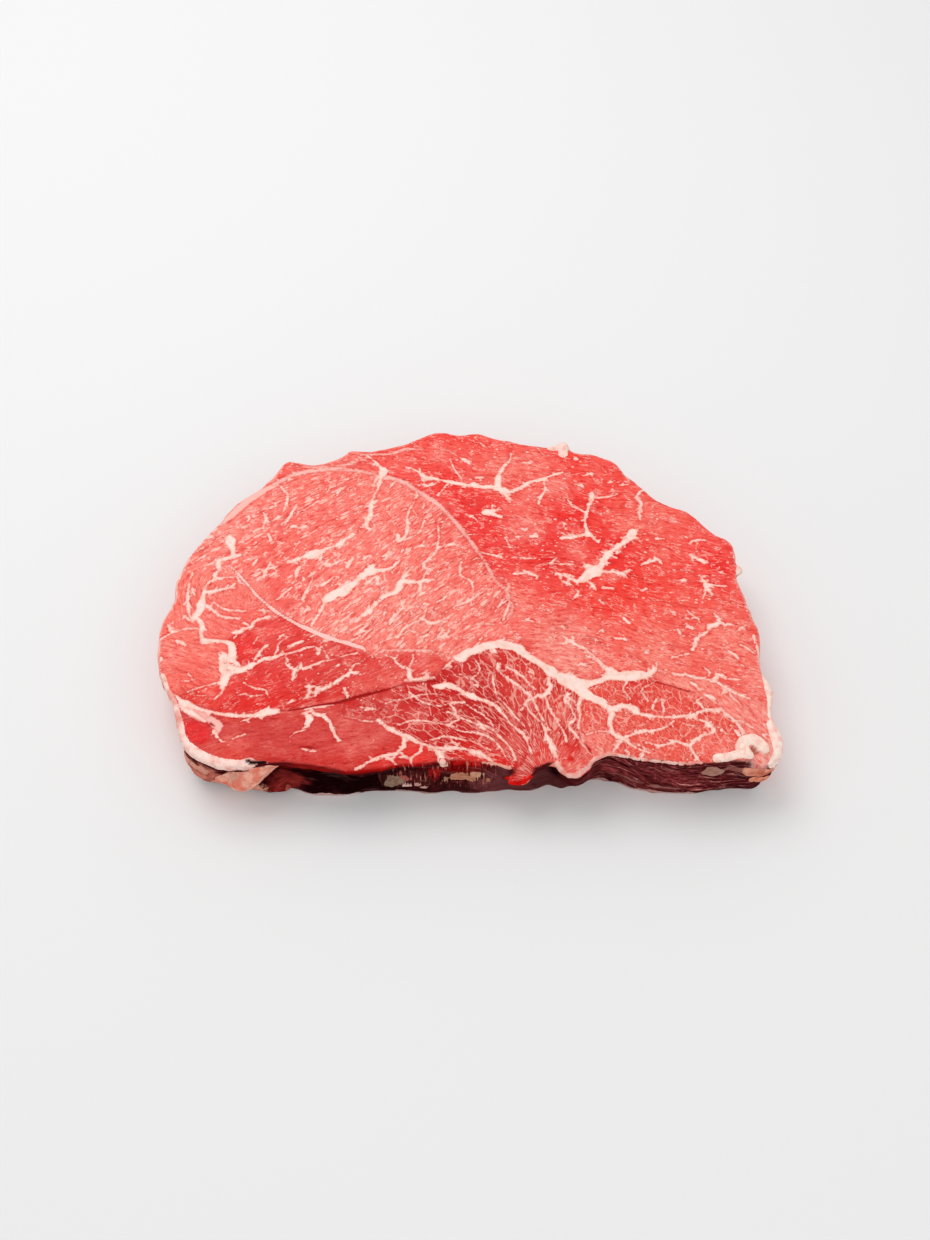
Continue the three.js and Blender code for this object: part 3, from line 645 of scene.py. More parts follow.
tendons = {
    "veins": [
        ([0.7, 1.0, 1.3, 1.5, 1.3], [(-79.5, 16), (-77, 12.4), (-73, 5.5), (-69, -1.8), (-65, -7.4),
                                     (-60, -13.4), (-54, -18.8), (-49.5, -22.4), (-45, -26), (-40, -28.8),
                                     (-36, -30.6), (-32, -32.6)]),
        ([0.9, 0.6], [(-33, -32), (-30, -35.6), (-28.5, -38)]),
    ],
}

# Splits where two muscles have parted, and dark slits, their dark red partly the meat's own colour and partly
# painted shade in the gap: widths in mm and how deep they open
splits = {
    "veins": [
        ([0.3, 0.6, 0.7, 1.0, 0.9, 0.6, 0.3],
         [(-58, -65.4), (-52, -64), (-46, -62), (-38, -60.2), (-30, -57), (-24, -54.4), (-17, -50.6)]),
        ([0.3, 0.5, 0.6, 0.3], [(61.5, -50.3), (65, -51.5), (70, -54), (75, -56.5)]),
        ([0.3, 0.6, 0.3], [(-16, -50.6), (-12, -50.6), (-7, -50)]),
        ([0.3, 0.7, 0.3], [(-51, -84.2), (-48, -84.5), (-44, -85.2)]),
        ([0.8, 0.4], [(-79.5, -72.5), (-78, -74)]),
        ([0.3, 0.6, 0.3], [(38.5, -83), (40, -85.5), (41, -88)]),
    ],
    "deep": 0.3,
}

redPocket = {
    "outline": [(-88, -72), (-84, -71), (-80, -74), (-79, -79), (-80, -83), (-84, -82), (-88, -77)],
    "tint": (228, 32, 34),
}

# The torn wall. A soft tint lies softly over the front wall, and a patch has a sharp edge; the near-black
# soft tints, under the lip and beside the bib, are painted shadow.
# Each is its middle, in percent across and in mm up a wall 20 mm high, its half sizes in mm and its colour

wall = {
    "skin": [(238, 146, 134), (221, 92, 82), (247, 204, 192)],  # the sides and back: pink skin, meat, fat
    # the front wall's dark red-brown: partly its own colour, partly painted shade
    "front": (74, 22, 25),
    "foot": (190, 142, 134),  # a painted highlight along the moist edge it stands on
    "softTintsAndShadows": [
        ((-53, 13), 10, 7, (92, 12, 15)), ((-46, 7), 15, 7, (30, 5, 7)), ((-28, 8), 24, 8.5, (24, 4, 5)),
        ((-44, 18), 9, 2, (136, 18, 18)), ((-22, 19.2), 17, 1.3, (168, 16, 14)),
        ((-56, 6), 5, 4, (128, 36, 34)), ((-16, 9), 8, 5, (78, 28, 28)), ((0, 4), 8, 4, (56, 18, 20)),
        ((0, 16.4), 9, 2.4, (118, 10, 12)), ((-8.4, 12.5), 1.6, 4, (158, 22, 22)),
        ((2, 18.8), 6, 1.4, (196, 24, 22)), ((13, 8), 8, 10, (108, 54, 56)), ((21, 6), 8, 7, (100, 50, 52)),
        ((29, 5), 6, 5, (86, 42, 44)), ((29.4, 14), 1.8, 5, (28, 5, 6)), ((41, 12), 4, 8, (46, 10, 13)),
        ((62, 10), 22, 9, (108, 40, 42)), ((57, 19.2), 17, 0.9, (62, 12, 15)), ((86, 9), 5, 5, (92, 28, 31)),
        ((-82, 10), 7, 7, (192, 112, 95)),
    ],
    "patches": [
        # the grey patch at -21.6 is fat with a painted grey reflection; the pale spots at -17.6, -14.2 and
        # -12 are painted glints
        ((-21.6, 7.6), 2.3, 3.6, (148, 124, 106)), ((-17.6, 5.4), 2.2, 1, (226, 184, 172)),
        ((-14.2, 6.2), 1.6, 0.9, (206, 150, 140)), ((-12, 4.4), 1.4, 0.9, (214, 160, 150)),
        ((-18, 9.4), 1.6, 0.9, (176, 96, 88)), ((0.5, 11.4), 5.4, 2.4, (190, 130, 102)),
        ((4.6, 12.4), 2.4, 2, (206, 150, 124)), ((-4.8, 9.5), 1.2, 3.6, (166, 116, 98)),
        ((52, 6), 6, 0.9, (146, 90, 84)), ((66, 5), 5, 0.9, (156, 98, 92)),
        ((78.6, 15.4), 3.2, 2, (170, 124, 110)), ((86, 16.6), 3, 0.9, (146, 92, 84)),
        ((-78, 5), 2.4, 1.8, (226, 160, 142)), ((-86, 13), 2.4, 2, (222, 158, 140)),
        ((-87, 5), 2.4, 2.4, (214, 146, 128)), ((-82, 13), 2, 2.6, (220, 156, 136)),
        # the pale strips about 1 mm up are a painted highlight along the foot
        ((-42, 0.9), 8, 1, (206, 166, 158)), ((-14, 0.8), 7, 0.9, (176, 136, 128)),
        ((44, 1), 5, 1, (180, 134, 128)), ((66, 0.9), 14, 1, (196, 150, 142)),
    ],
    "rimHeights": [(-90, 18.8), (-70, 18.6), (-50, 19.2), (-40, 18.5), (-30, 17.9), (-10, 17.8), (2, 17.4),
                   (10, 18.2), (20, 17.2), (28, 18.5), (35, 16.4), (42, 18.8), (60, 19.1), (80, 19.5),
                   (100, 18)],
    "strata": [(-60, 0.35), (-52, 0.1), (-8, 0.2), (8, 0.35), (14, 0.05), (34, 0.1), (46, 1), (84, 1),
               (100, 0.4)],
    "sideStrata": 0.1,
    "fringe": [(-28, 0), (-18, 1), (8, 1), (12, 0)],  # how far the fibres hang down over the wall
    "dip": (36, 26, 0.4),  # mm: from here, over this far, the layers slope down to the right
    "rim": (252, 198, 186),  # the pale line along the left, back and right rim: film and fat at the left and right, a painted highlight along the back
}

relief = {  # mm
    "fatStands": 0.06,
    "besideFat": 0.03,   # the groove along it
    "skinSinks": 0.12,
    "swell": 0.10,       # broad unevenness of the face
    "ripple": 0.05,
    "crags": 0.42,       # how far small crags stand out of the wall
    "formsStand": 0.25,  # lumps and folds at the edge,
    "formsVary": 0.3,    # more or less by this
    "creaseSinks": 0.8,
}

# Lumps, folds and rims: their path in percent across and deep, their reach in mm and two colours.
# A path with no heights lies on the rim. The others run down the wall, with their heights in mm
edgeForms = {
    "curl": ([(88.6, -88), (87.3, -84.8), (88.9, -81.8), (91.6, -80.8), (94, -82.6), (94.8, -85.8)], 1.7,
             (253, 224, 210), (248, 204, 188)),
    "curlTail": ([(79.4, -90.6), (82.6, -90), (85.8, -89.2), (88.4, -88.6), (90.2, -89.4)], 1.25,
                 (253, 224, 210), (248, 204, 188)),
    "flange": ([(-88.6, -79.6), (-87, -83), (-84.2, -86.4), (-80.2, -89.8), (-76, -92), (-71.6, -93.2),
                (-68, -93.2), (-66, -92.4)], 1.7, (253, 218, 207), (243, 166, 154)),
    "leftCorner": ([(-97.4, -48), (-94.8, -55), (-92, -62), (-90.4, -69), (-89, -75), (-88, -80)], 1.2,
                   (252, 214, 204), (243, 166, 154)),
    "slitEdge": ([(-67, -90.8), (-63.6, -91.6), (-60.4, -92.8)], 0.4, (250, 176, 164), (244, 130, 116)),
    "fold": ([(90.4, -92, 15.8), (94.4, -91.4, 14.6), (98, -88, 13.6)], 2.3, (232, 160, 134), (204, 116, 94)),
    "foldTip": ([(93, -91.8, 11.6), (95.8, -90.2, 8.8)], 2.5, (236, 158, 128), (198, 108, 88)),
    "thumb": ([(-62.4, -91.6, 15), (-66, -92.4, 12.6), (-70.5, -93, 9.6), (-74, -93.2, 7)], 4.6,
              (247, 180, 158), (236, 134, 112)),
    "thumbTip": ([(-73.6, -94.6, 7.2), (-76.2, -94.8, 5.2)], 2.1, (240, 120, 98), (220, 70, 56)),
    "thumbTail": ([(-70, -91, 6), (-66, -91.6, 5.4), (-62, -92.2, 5)], 2.2, (222, 160, 140), (176, 94, 80)),
    "thumbEnd": ([(-61, -92.4, 4.6), (-56.4, -92.6, 4)], 1.2, (176, 86, 74), (122, 30, 30)),
    "bib": ([(32.6, -93, 17.4), (35.6, -94.4, 17), (38.4, -93, 17.6)], 2.3, (226, 52, 46), (242, 108, 96)),
    "tongue": ([(20.6, -96, 14.6), (17, -97.4, 13.8), (13.8, -98, 13)], 1.9, (234, 26, 22), (208, 16, 16)),
    "tongueRim": ([(28.6, -92, 17.2), (25, -95.4, 15.4), (21.4, -97.8, 13.6), (17, -99.4, 12.2),
                   (13, -99.6, 11.8)], 0.75, (250, 150, 130), (248, 180, 162)),
    "frontLip": ([(7, -91.4), (11, -92.8), (15, -94.6)], 0.55, (248, 176, 158), (244, 138, 120)),
    "bibRim": ([(29.6, -92.4), (30.8, -94.8), (33, -96.6), (36, -97), (38.6, -95.6), (40.4, -92.6),
                (41.8, -89.8)], 0.75, (252, 196, 184), (248, 156, 142)),
    "frontLine": ([(42.6, -89.6), (46, -88), (52, -88.8), (60, -90.6), (67, -91.9), (75, -92.2)], 0.6,
                  (252, 206, 194), (249, 164, 152)),
    "drop": ([(-5.9, -90.4, 17.8), (-5.2, -92, 15.8)], 0.95, (248, 206, 190), (238, 170, 150)),
    "rightLow": ([(98.6, -92), (99.8, -86.6), (99.6, -80), (98.8, -74)], 1.9, (253, 228, 216),
                 (249, 196, 184)),
    "rightHigh": ([(99, -68), (99.4, -61), (99.6, -55), (98.6, -48)], 1.6, (253, 226, 214), (249, 196, 184)),
    "rightLine": ([(98.6, -72), (98.8, -66), (98.4, -46), (97.4, -36), (96, -26)], 0.6, (251, 206, 194),
                  (248, 170, 156)),
    "leftBand": ([(-99.6, -44, 14), (-95.6, -56, 13.4), (-92, -67, 13), (-90, -76, 12.6)], 3.0,
                 (250, 204, 194), (240, 166, 154)),
    "rightTag": ([(94.6, 13, 18), (94.7, 15, 18)], 1.6, (252, 230, 218), (248, 200, 188)),
    "backNub": ([(32.6, 90.6), (36.2, 91), (36.8, 88), (36.4, 86)], 1.5, (251, 214, 202), (244, 172, 160)),
    "backNubTop": ([(33.2, 90.5, 17.4), (36.2, 91, 18.6), (37, 93, 18.4)], 2.4, (251, 214, 202),
                   (244, 172, 160)),
}

# Creases between the forms, their dark colours painted shadow
shadowedCreases = {
    "slit": ([(-66.8, -91.8), (-63.9, -92.4), (-61, -93.4)], 0.6, (34, 8, 8), (60, 14, 13)),
    "curlGap": ([(91.2, -85.4), (92, -87.4)], 0.7, (196, 116, 96), (150, 70, 58)),
    "underFlange": ([(-85.6, -85.6, 13.6), (-81, -89.6, 13.2), (-76.4, -91.6, 13.4), (-73, -92.6, 14)],
                    0.55, (104, 38, 34), (70, 20, 20)),
}


def linear(colour):
    return np.array(shade(*colour)[:3])


def acrossOf(x):  # mm in the frame as percent across
    return (x - steak["offset"][0]) / steak["halfAcross"] * 100


def grainOf(muscle, x, y):  # how far along and across the fibres, in mm, and which way they run
    if muscle["grain"] in ("round", "fan"):
        middle = place(*muscle["middle"])
        away = np.hypot(x - middle[0], y - middle[1])
        turn = np.arctan2(y - middle[1], x - middle[0])
        if muscle["grain"] == "round":
            return turn * 16, away, turn + math.pi / 2
        return away * muscle["crosscut"], turn * 34, turn
    flatter = math.radians(muscle.get("flatter", 0))
    turn = math.radians(muscle["grain"]) - flatter * ease(-x * 0.7 + y, 20, 75)
    bow = 1.4 * lumps(x, y, 0, 17, 5) + 0.5 * lumps(x, y, 0, 6, 6)
    along = (x + 30) * np.cos(turn) + (y - 8) * np.sin(turn)
    across = -(x + 30) * np.sin(turn) + (y - 8) * np.cos(turn) + bow
    return along * muscle.get("crosscut", 1), across, turn


def paintFat():
    fat = Sheet(2.0)
    chance = np.random.default_rng(58)
    for number, muscle in enumerate(muscles):
        corners = np.array([place(*spot) for spot in muscle["outline"]])
        low = np.maximum(corners.min(0), -88)
        high = np.minimum(corners.max(0), 88)
        others = muscles[number + 1:]
        placed = 0
        while placed < muscle["veinlets"]:
            spot = chance.uniform(low, high, (400, 2))
            fits = insideOutline(spot[:, 0], spot[:, 1], muscle["outline"]) > 0.8
            for other in others:
                fits &= insideOutline(spot[:, 0], spot[:, 1], other["outline"]) < -0.6
            for x, y in spot[fits][:muscle["veinlets"] - placed]:
                turn = float(grainOf(muscle, np.array(x), np.array(y))[2]) + chance.normal(0, 0.2)
                thinnest, more = brush["veinletWidth"]
                width = thinnest + muscle.get("thickest", more) * chance.random() ** 2
                line, half = fat.veinlet((x, y), turn, width, chance)
                fat.twigs(line, half, chance, every=0.5, length=1.3)
                placed += 1
    for muscle in muscles + [seamFat]:
        for widths, path in muscle["veins"]:
            line, half = fat.stroke(widths, path, chance, muscle.get("slimming", 0.92))
            fat.twigs(line, half, chance, every=0.3, length=1.6)
    print("fat painted")
    return fat


def paintPlain(group, reach, seed, slimming=1.0):  # steadier strokes, without twigs
    sheet = Sheet(reach)
    chance = np.random.default_rng(seed)
    for widths, path in group["veins"]:
        sheet.stroke(widths, path, chance, slimming, brush["plainUnsteady"], brush["plainWander"])
    return sheet


def tintFace(x, y):  # colour, grain and marbling of the cut face at any places
    tint = np.zeros(x.shape + (3,))
    grain = np.zeros(x.shape + (2,))
    marbling = np.zeros(x.shape + (3,))
    for muscle in muscles:
        ragged = 0.5 * lumps(x, y, 0, 2.6, 11)
        share = ease(insideOutline(x, y, muscle["outline"]) + ragged, -0.9, 0.9)[..., None]
        here = np.ones(x.shape + (3,)) * linear(muscle["tint"])
        for spot, reach, colour in muscle["daubs"]:
            middle = place(*spot)
            near = np.hypot(x - middle[0], y - middle[1]) / reach + 0.16 * lumps(x, y, 0, 5, 13)
            weight = np.exp(-1.3 * near ** 2)[..., None]
            here = here * (1 - weight) + linear(colour) * weight
        tint = tint * (1 - share) + here * share
        along, across, _ = grainOf(muscle, x, y)
        grain = np.where(share > 0.5, np.stack([along, across], axis=-1), grain)
        marbling = marbling * (1 - share) + np.array([muscle.get("net", 0), *muscle["flecks"]]) * share
    marbling[..., 0] *= ease(acrossOf(x), -36, -16) * (1 + 0.5 * ease(acrossOf(x), 0, 24))
    pocket = ease(insideOutline(x, y, redPocket["outline"]), -1.0, 0.8)[..., None]
    tint = tint * (1 - pocket) + linear(redPocket["tint"]) * pocket
    return tint, grain, marbling


def tintWall(x, y, z, frontness):  # colour of the sides and the torn front, and of its sharp patches
    pink, meat, fat = [linear(colour) for colour in wall["skin"]]
    turned = (x * 0.8 - y * 0.6 + z * 0.6, x * 0.6 + y * 0.8 - z * 0.7, z * 1.5 + x * 0.3)
    bent = [axis + 3 * lumps(x, y, z, 6, 50 + n) for n, axis in enumerate(turned)]
    patch = ease(lumps(*bent, 10, 21) + 0.5 * lumps(*bent, 3.7, 22), -0.4, 0.7)[..., None]
    pale = ease(lumps(*bent, 5.5, 23) + 0.4 * lumps(*bent, 2, 27), 0.1, 0.9)[..., None]
    sides = pink * (1 - patch) + meat * patch
    sides = sides * (1 - pale) + fat * pale
    torn = 0.35 * lumps(x, y, z, 3, 24) + 0.35 * lumps(x, y, z, 1.6, 25)
    level = z * 20 / np.interp(acrossOf(x), *np.array(wall["rimHeights"]).T)

    def spread(spot, wide, tall):  # how far out of an oval, 1 on its edge
        return np.hypot((x - place(spot[0], 0)[0]) / wide, (level - spot[1]) / tall) + torn

    front = np.ones(x.shape + (3,)) * linear(wall["front"])
    # soft tints; the near-black ones are painted shadow
    for spot, wide, tall, colour in wall["softTintsAndShadows"]:
        weight = (1 - ease(spread(spot, wide, tall), 0.55, 1.35))[..., None]
        front = front * (1 - weight) + linear(colour) * weight
    # a painted highlight along the foot of the wall
    foot = (1 - ease(level + 0.9 * torn, 0.5, 1.4))[..., None] * 0.7
    front = front * (1 - foot) + linear(wall["foot"]) * foot
    over = front.copy()
    depth = np.full(x.shape, -2.0)
    for spot, wide, tall, colour in wall["patches"]:
        near = (1 - spread(spot, wide, tall)) * min(wide, tall)
        over = np.where((near > depth)[..., None], linear(colour), over)
        depth = np.maximum(near, depth)
    share = frontness[..., None]
    return sides * (1 - share) + front * share, over, np.where(frontness > 0.5, depth, -2.0)


def nearPath(points, path):  # distance in mm from a path over the rim, or from one with its own heights
    knots = []
    for across, deep, *height in path:
        x, y = place(across, deep)
        if not height:
            away = np.hypot(points[:, 0] - x, points[:, 1] - y)
            x, y, *height = points[np.argmax(points[:, 2] - 2.2 * away)]
        knots.append((x, y, *height))
    knots = np.array(knots)
    line = np.array([[np.interp(t, range(len(knots)), knots[:, axis]) for axis in range(3)]
                     for t in np.linspace(0, len(knots) - 1, 6 * len(knots))])
    nearest = np.full(len(points), 1e9)
    for spot in line:
        nearest = np.minimum(nearest, np.linalg.norm(points - spot, axis=1))
    return nearest


def setAttribute(mesh, name, kind, values):
    layer = mesh.attributes.new(name, kind, "POINT")
    field = {"FLOAT": "value", "FLOAT_VECTOR": "vector", "FLOAT_COLOR": "color"}[kind]
    layer.data.foreach_set(field, np.ascontiguousarray(values, dtype=np.float32).ravel())


def paintBody(body, fatSheet, splitSheet):
    mesh = body.data
    points = np.empty(len(mesh.vertices) * 3)
    normals = np.empty(len(mesh.vertices) * 3)
    mesh.vertices.foreach_get("co", points)
    mesh.vertices.foreach_get("normal", normals)
    points = points.reshape(-1, 3) / mm
    normals = normals.reshape(-1, 3)
    x, y, z = points.T
    fat = fatSheet.at(x, y)
    skin = paintPlain(skins, 1.6, 71, 0.66).at(x, y)
    tendon = paintPlain(tendons, 1.2, 73).at(x, y)
    split = splitSheet.at(x, y)
    onFace = ease(normals[:, 2], 0.35, 0.75) * ease(z, 9, 14)
    frontness = ease(-normals[:, 1], 0.05, 0.45) * ease(-y, 42, 50)
    isFace = onFace > 0.5

    faceTint, acrossGrain, marbling = tintFace(x, y)
    wallTint, over, depth = tintWall(x, y, z, frontness)
    tint = wallTint * (1 - onFace[:, None]) + faceTint * onFace[:, None]
    percent = acrossOf(x)
    # a pale line on the rim's rounded shoulder: film and fat at the left and right, a painted highlight along
    # the back
    rim = ease(normals[:, 2], 0.2, 0.6) * (1 - ease(normals[:, 2], 0.8, 0.97)) * ease(z, 12, 15)
    leftRim = 0.9 * ease(-percent, 50, 75) * ease(y, -38, -20)
    rim = rim * (leftRim + 0.35 * ease(y, 30, 45) + 0.4 * ease(percent, 80, 92))
    tint = tint * (1 - rim[:, None]) + linear(wall["rim"]) * rim[:, None]
    depth = np.where(isFace, -2.0, depth)
    streak = ease(lumps(x, y, z, 2.4, 38) + 0.6 * lumps(x, y, z, 1.2, 39), -0.1, 0.7)[:, None]
    standing = sunk = np.full(x.shape, -2.0)
    for name, (path, reach, colour, second) in (edgeForms | shadowedCreases).items():
        near = reach - nearPath(points, path)
        if len(path[0]) == 3 and path[0][2] < 17:
            near = near - 4 * ease(z, 16.6, 18.2)  # a form down on the wall stays below the cut face
        mixed = linear(colour) * (1 - streak) + linear(second) * streak
        over = np.where((near > np.minimum(depth, 0))[:, None], mixed, over)
        depth = np.maximum(near, depth)
        # the creases sink into the wall, and their dark colour is painted shadow
        if name in shadowedCreases:
            sunk = np.maximum(near, sunk)
        else:
            standing = np.maximum(near, standing)

    # low relief of the face: fat stands a little proud, seams and splits are cut in
    groove = ease(fat, -0.7, -0.2) * (1 - ease(fat, -0.2, 0.1))
    rise = relief["fatStands"] * ease(fat, -0.1, 0.5) - relief["besideFat"] * groove
    rise = rise - relief["skinSinks"] * ease(skin, -0.9, -0.1) * (1 - ease(skin, -0.1, 0.4))
    rise = rise + relief["swell"] * lumps(x, y, 0, 7, 31) + relief["ripple"] * lumps(x, y, 0, 2.4, 32)
    rise = rise - splits["deep"] * ease(split, -0.35, 0.35)
    points[:, 2] += rise * onFace * ease(z, 12, 16)
    # small crags on the wall, and lumpy fat
    crag = 0.6 * lumps(x * 0.4, y * 0.4, z * 1.6, 2.2, 33) + 0.4 * lumps(x, y, z, 1.8, 34)
    out = relief["crags"] * crag * (1 - onFace) * ease(z, 0.4, 2.5) * (0.5 + 0.5 * frontness)
    lumpy = relief["formsVary"] * lumps(x, y, z, 2.1, 40) + relief["formsStand"]
    out = out + lumpy * ease(standing, -0.4, 0.6) * ease(z, 0.4, 2.5)
    out = out - relief["creaseSinks"] * ease(sunk, -0.3, 0.4)
    points += normals * out[:, None]
    mesh.vertices.foreach_set("co", (points * mm).ravel())
    mesh.update()

    around = np.where(frontness > 0.5, x, np.arctan2(y * 1.45, x) * 78)
    sway = 1.2 * lumps(around, 0 * x, z * 0.4, 12, 35) + 0.5 * lumps(around, 0 * x, z, 4, 36)
    dipFrom, dipFor, slope = wall["dip"]
    layers = z + sway + slope * np.clip(x - dipFrom, 0, dipFor)
    grain = np.where(isFace[:, None], np.stack([acrossGrain[:, 0], acrossGrain[:, 1], 0 * x], axis=1),
                     np.stack([around, layers, 0 * x + 40], axis=1))
    strata = np.interp(percent, *np.array(wall["strata"]).T) * frontness
    strata = strata + wall["sideStrata"] * (1 - frontness)
    fringe = np.interp(percent, *np.array(wall["fringe"]).T) * frontness * ease(z, 3, 7)
    covered = (depth > 0) | ~isFace

    for name, colours in (("tint", tint), ("over", over)):
        setAttribute(mesh, name, "FLOAT_COLOR", np.concatenate([colours, np.ones((len(x), 1))], axis=1))
    setAttribute(mesh, "grain", "FLOAT_VECTOR", grain)
    setAttribute(mesh, "marbling", "FLOAT_VECTOR", marbling * onFace[:, None])
    amounts = {
        "fat": np.where(covered, -2.0, fat),
        "skin": np.where(covered, -1.6, skin),
        "tendon": np.where(covered, -1.2, tendon),
        "split": np.where(isFace, split, -1.2),
        "onFace": onFace,
        "meaty": 1 - ease(depth, -0.2, 0.3),
        "overDepth": depth,
        "strata": strata,
        "fringe": fringe,
    }
    for name, amount in amounts.items():
        setAttribute(mesh, name, "FLOAT", amount)
    print("body painted")


# Shader maths is written as plain expressions of wires

class Wire:  # one output of a node
    def __init__(self, tree, socket):
        self.tree = tree
        self.socket = socket

    def maths(self, operation, first, second=0.0):
        node = self.tree.nodes.new("ShaderNodeMath")
        node.operation = operation
        for slot, value in zip(node.inputs, (first, second)):
            if isinstance(value, Wire):
                self.tree.links.new(value.socket, slot)
            else:
                slot.default_value = value
        return Wire(self.tree, node.outputs[0])

    def output(self, name):  # another output of the same node
        return Wire(self.tree, self.socket.node.outputs[name])

    def __add__(self, other):
        return self.maths("ADD", self, other)

    def __sub__(self, other):
        return self.maths("SUBTRACT", self, other)

    def __rsub__(self, other):
        return self.maths("SUBTRACT", other, self)

    def __mul__(self, other):
        return self.maths("MULTIPLY", self, other)

    def __abs__(self):
        return self.maths("ABSOLUTE", self)

    __radd__ = __add__
    __rmul__ = __mul__


class Finish:  # a material being written
    def __init__(self, name):
        self.material = bpy.data.materials.new(name)
        self.material.use_nodes = True
        self.tree = self.material.node_tree
        self.tree.nodes.clear()

    def add(self, kind, settings, sockets, out=0):
        node = self.tree.nodes.new(kind)
        for key, value in settings.items():
            setattr(node, key, value)
        for key, value in sockets.items():
            if isinstance(value, Wire):
                self.tree.links.new(value.socket, node.inputs[key])
            else:
                node.inputs[key].default_value = value
        return Wire(self.tree, node.outputs[out]) if len(node.outputs) else None

    def attribute(self, name, out="Fac"):
        return self.add("ShaderNodeAttribute", {"attribute_name": name}, {}, out)

    def ease(self, value, start, end):
        return self.add("ShaderNodeMapRange", {"interpolation_type": "SMOOTHSTEP"}, {
            "Value": value, "From Min": start, "From Max": end})

    def stretch(self, vector, scale):
        return self.add("ShaderNodeVectorMath", {"operation": "MULTIPLY"}, {0: vector, 1: scale})

    def noise(self, vector, scale, detail=2.0, roughness=0.5):
        return self.add("ShaderNodeTexNoise", {}, {
            "Vector": vector, "Scale": scale, "Detail": detail, "Roughness": roughness})

    def blend(self, under, over, share, mode="MIX"):
        return self.add("ShaderNodeMix", {"data_type": "RGBA", "blend_type": mode},
                        {0: share, 6: under, 7: over}, out=2)

    def cells(self, vector, feature="F1"):
        return self.add("ShaderNodeTexVoronoi", {"feature": feature}, {"Vector": vector, "Scale": 1.0})

    def surface(self, sockets):  # the last node: the shader with these sockets
        shader = self.add("ShaderNodeBsdfPrincipled", {}, sockets)
        self.add("ShaderNodeOutputMaterial", {}, {"Surface": shader})
        return self.material


meatLook = {  # screen colours
    "bloom": (253, 142, 128),  # paler clouds in the muscle
    "fat": (253, 221, 209),
    "thinFat": (251, 190, 176),
    "net": (249, 178, 164),
    "skin": (251, 196, 184),
    "tendon": (252, 204, 194),
    "wallPale": (184, 120, 112),
    "threads": (206, 122, 106),
    # split: dark red, partly the meat's own colour and partly painted shade in the gap
    "split": (158, 10, 12),
    "roughness": 0.42,
    "wet": 0.22,
    "wetRoughness": 0.25,
    "bump": 0.55,
    "bumpDepth": 0.0002,  # m
}

meatShades = {  # what the colour is multiplied with
    "bundle": (0.90, 0.66, 0.66, 1),
    "darkFibre": (0.80, 0.30, 0.30, 1),
    "lightFibre": (1.04, 1.75, 1.75, 1),
    "darkHair": (0.82, 0.35, 0.35, 1),
    "lightHair": (1.03, 1.6, 1.6, 1),
    "darkLayer": (0.30, 0.20, 0.22, 1),
    "darkLine": (0.45, 0.34, 0.36, 1),
    "lightLine": (1.4, 1.6, 1.6, 1),
    "lightFold": (2.1, 2.3, 2.3, 1),
    "darkFold": (0.55, 0.45, 0.46, 1),
    "betweenThreads": (0.3, 0.14, 0.14, 1),
    # painted shade in the crease round the forms on the wall
    "creaseShadow": (0.52, 0.36, 0.36, 1),
    "darkGrease": (0.94, 0.78, 0.75, 1),
    "lightGrease": (1.02, 1.1, 1.1, 1),
    "crack": (0.66, 0.42, 0.40, 1),
    "creamSpot": (0.98, 0.84, 0.80, 1),
    # painted shade along the edges of skins, fat, tendon and splits
    "besideSkin": (0.86, 0.6, 0.6, 1),
    "besideFat": (0.88, 0.60, 0.59, 1),
    "besideTendon": (0.80, 0.42, 0.42, 1),
    "besideSplit": (0.88, 0.45, 0.45, 1),
}


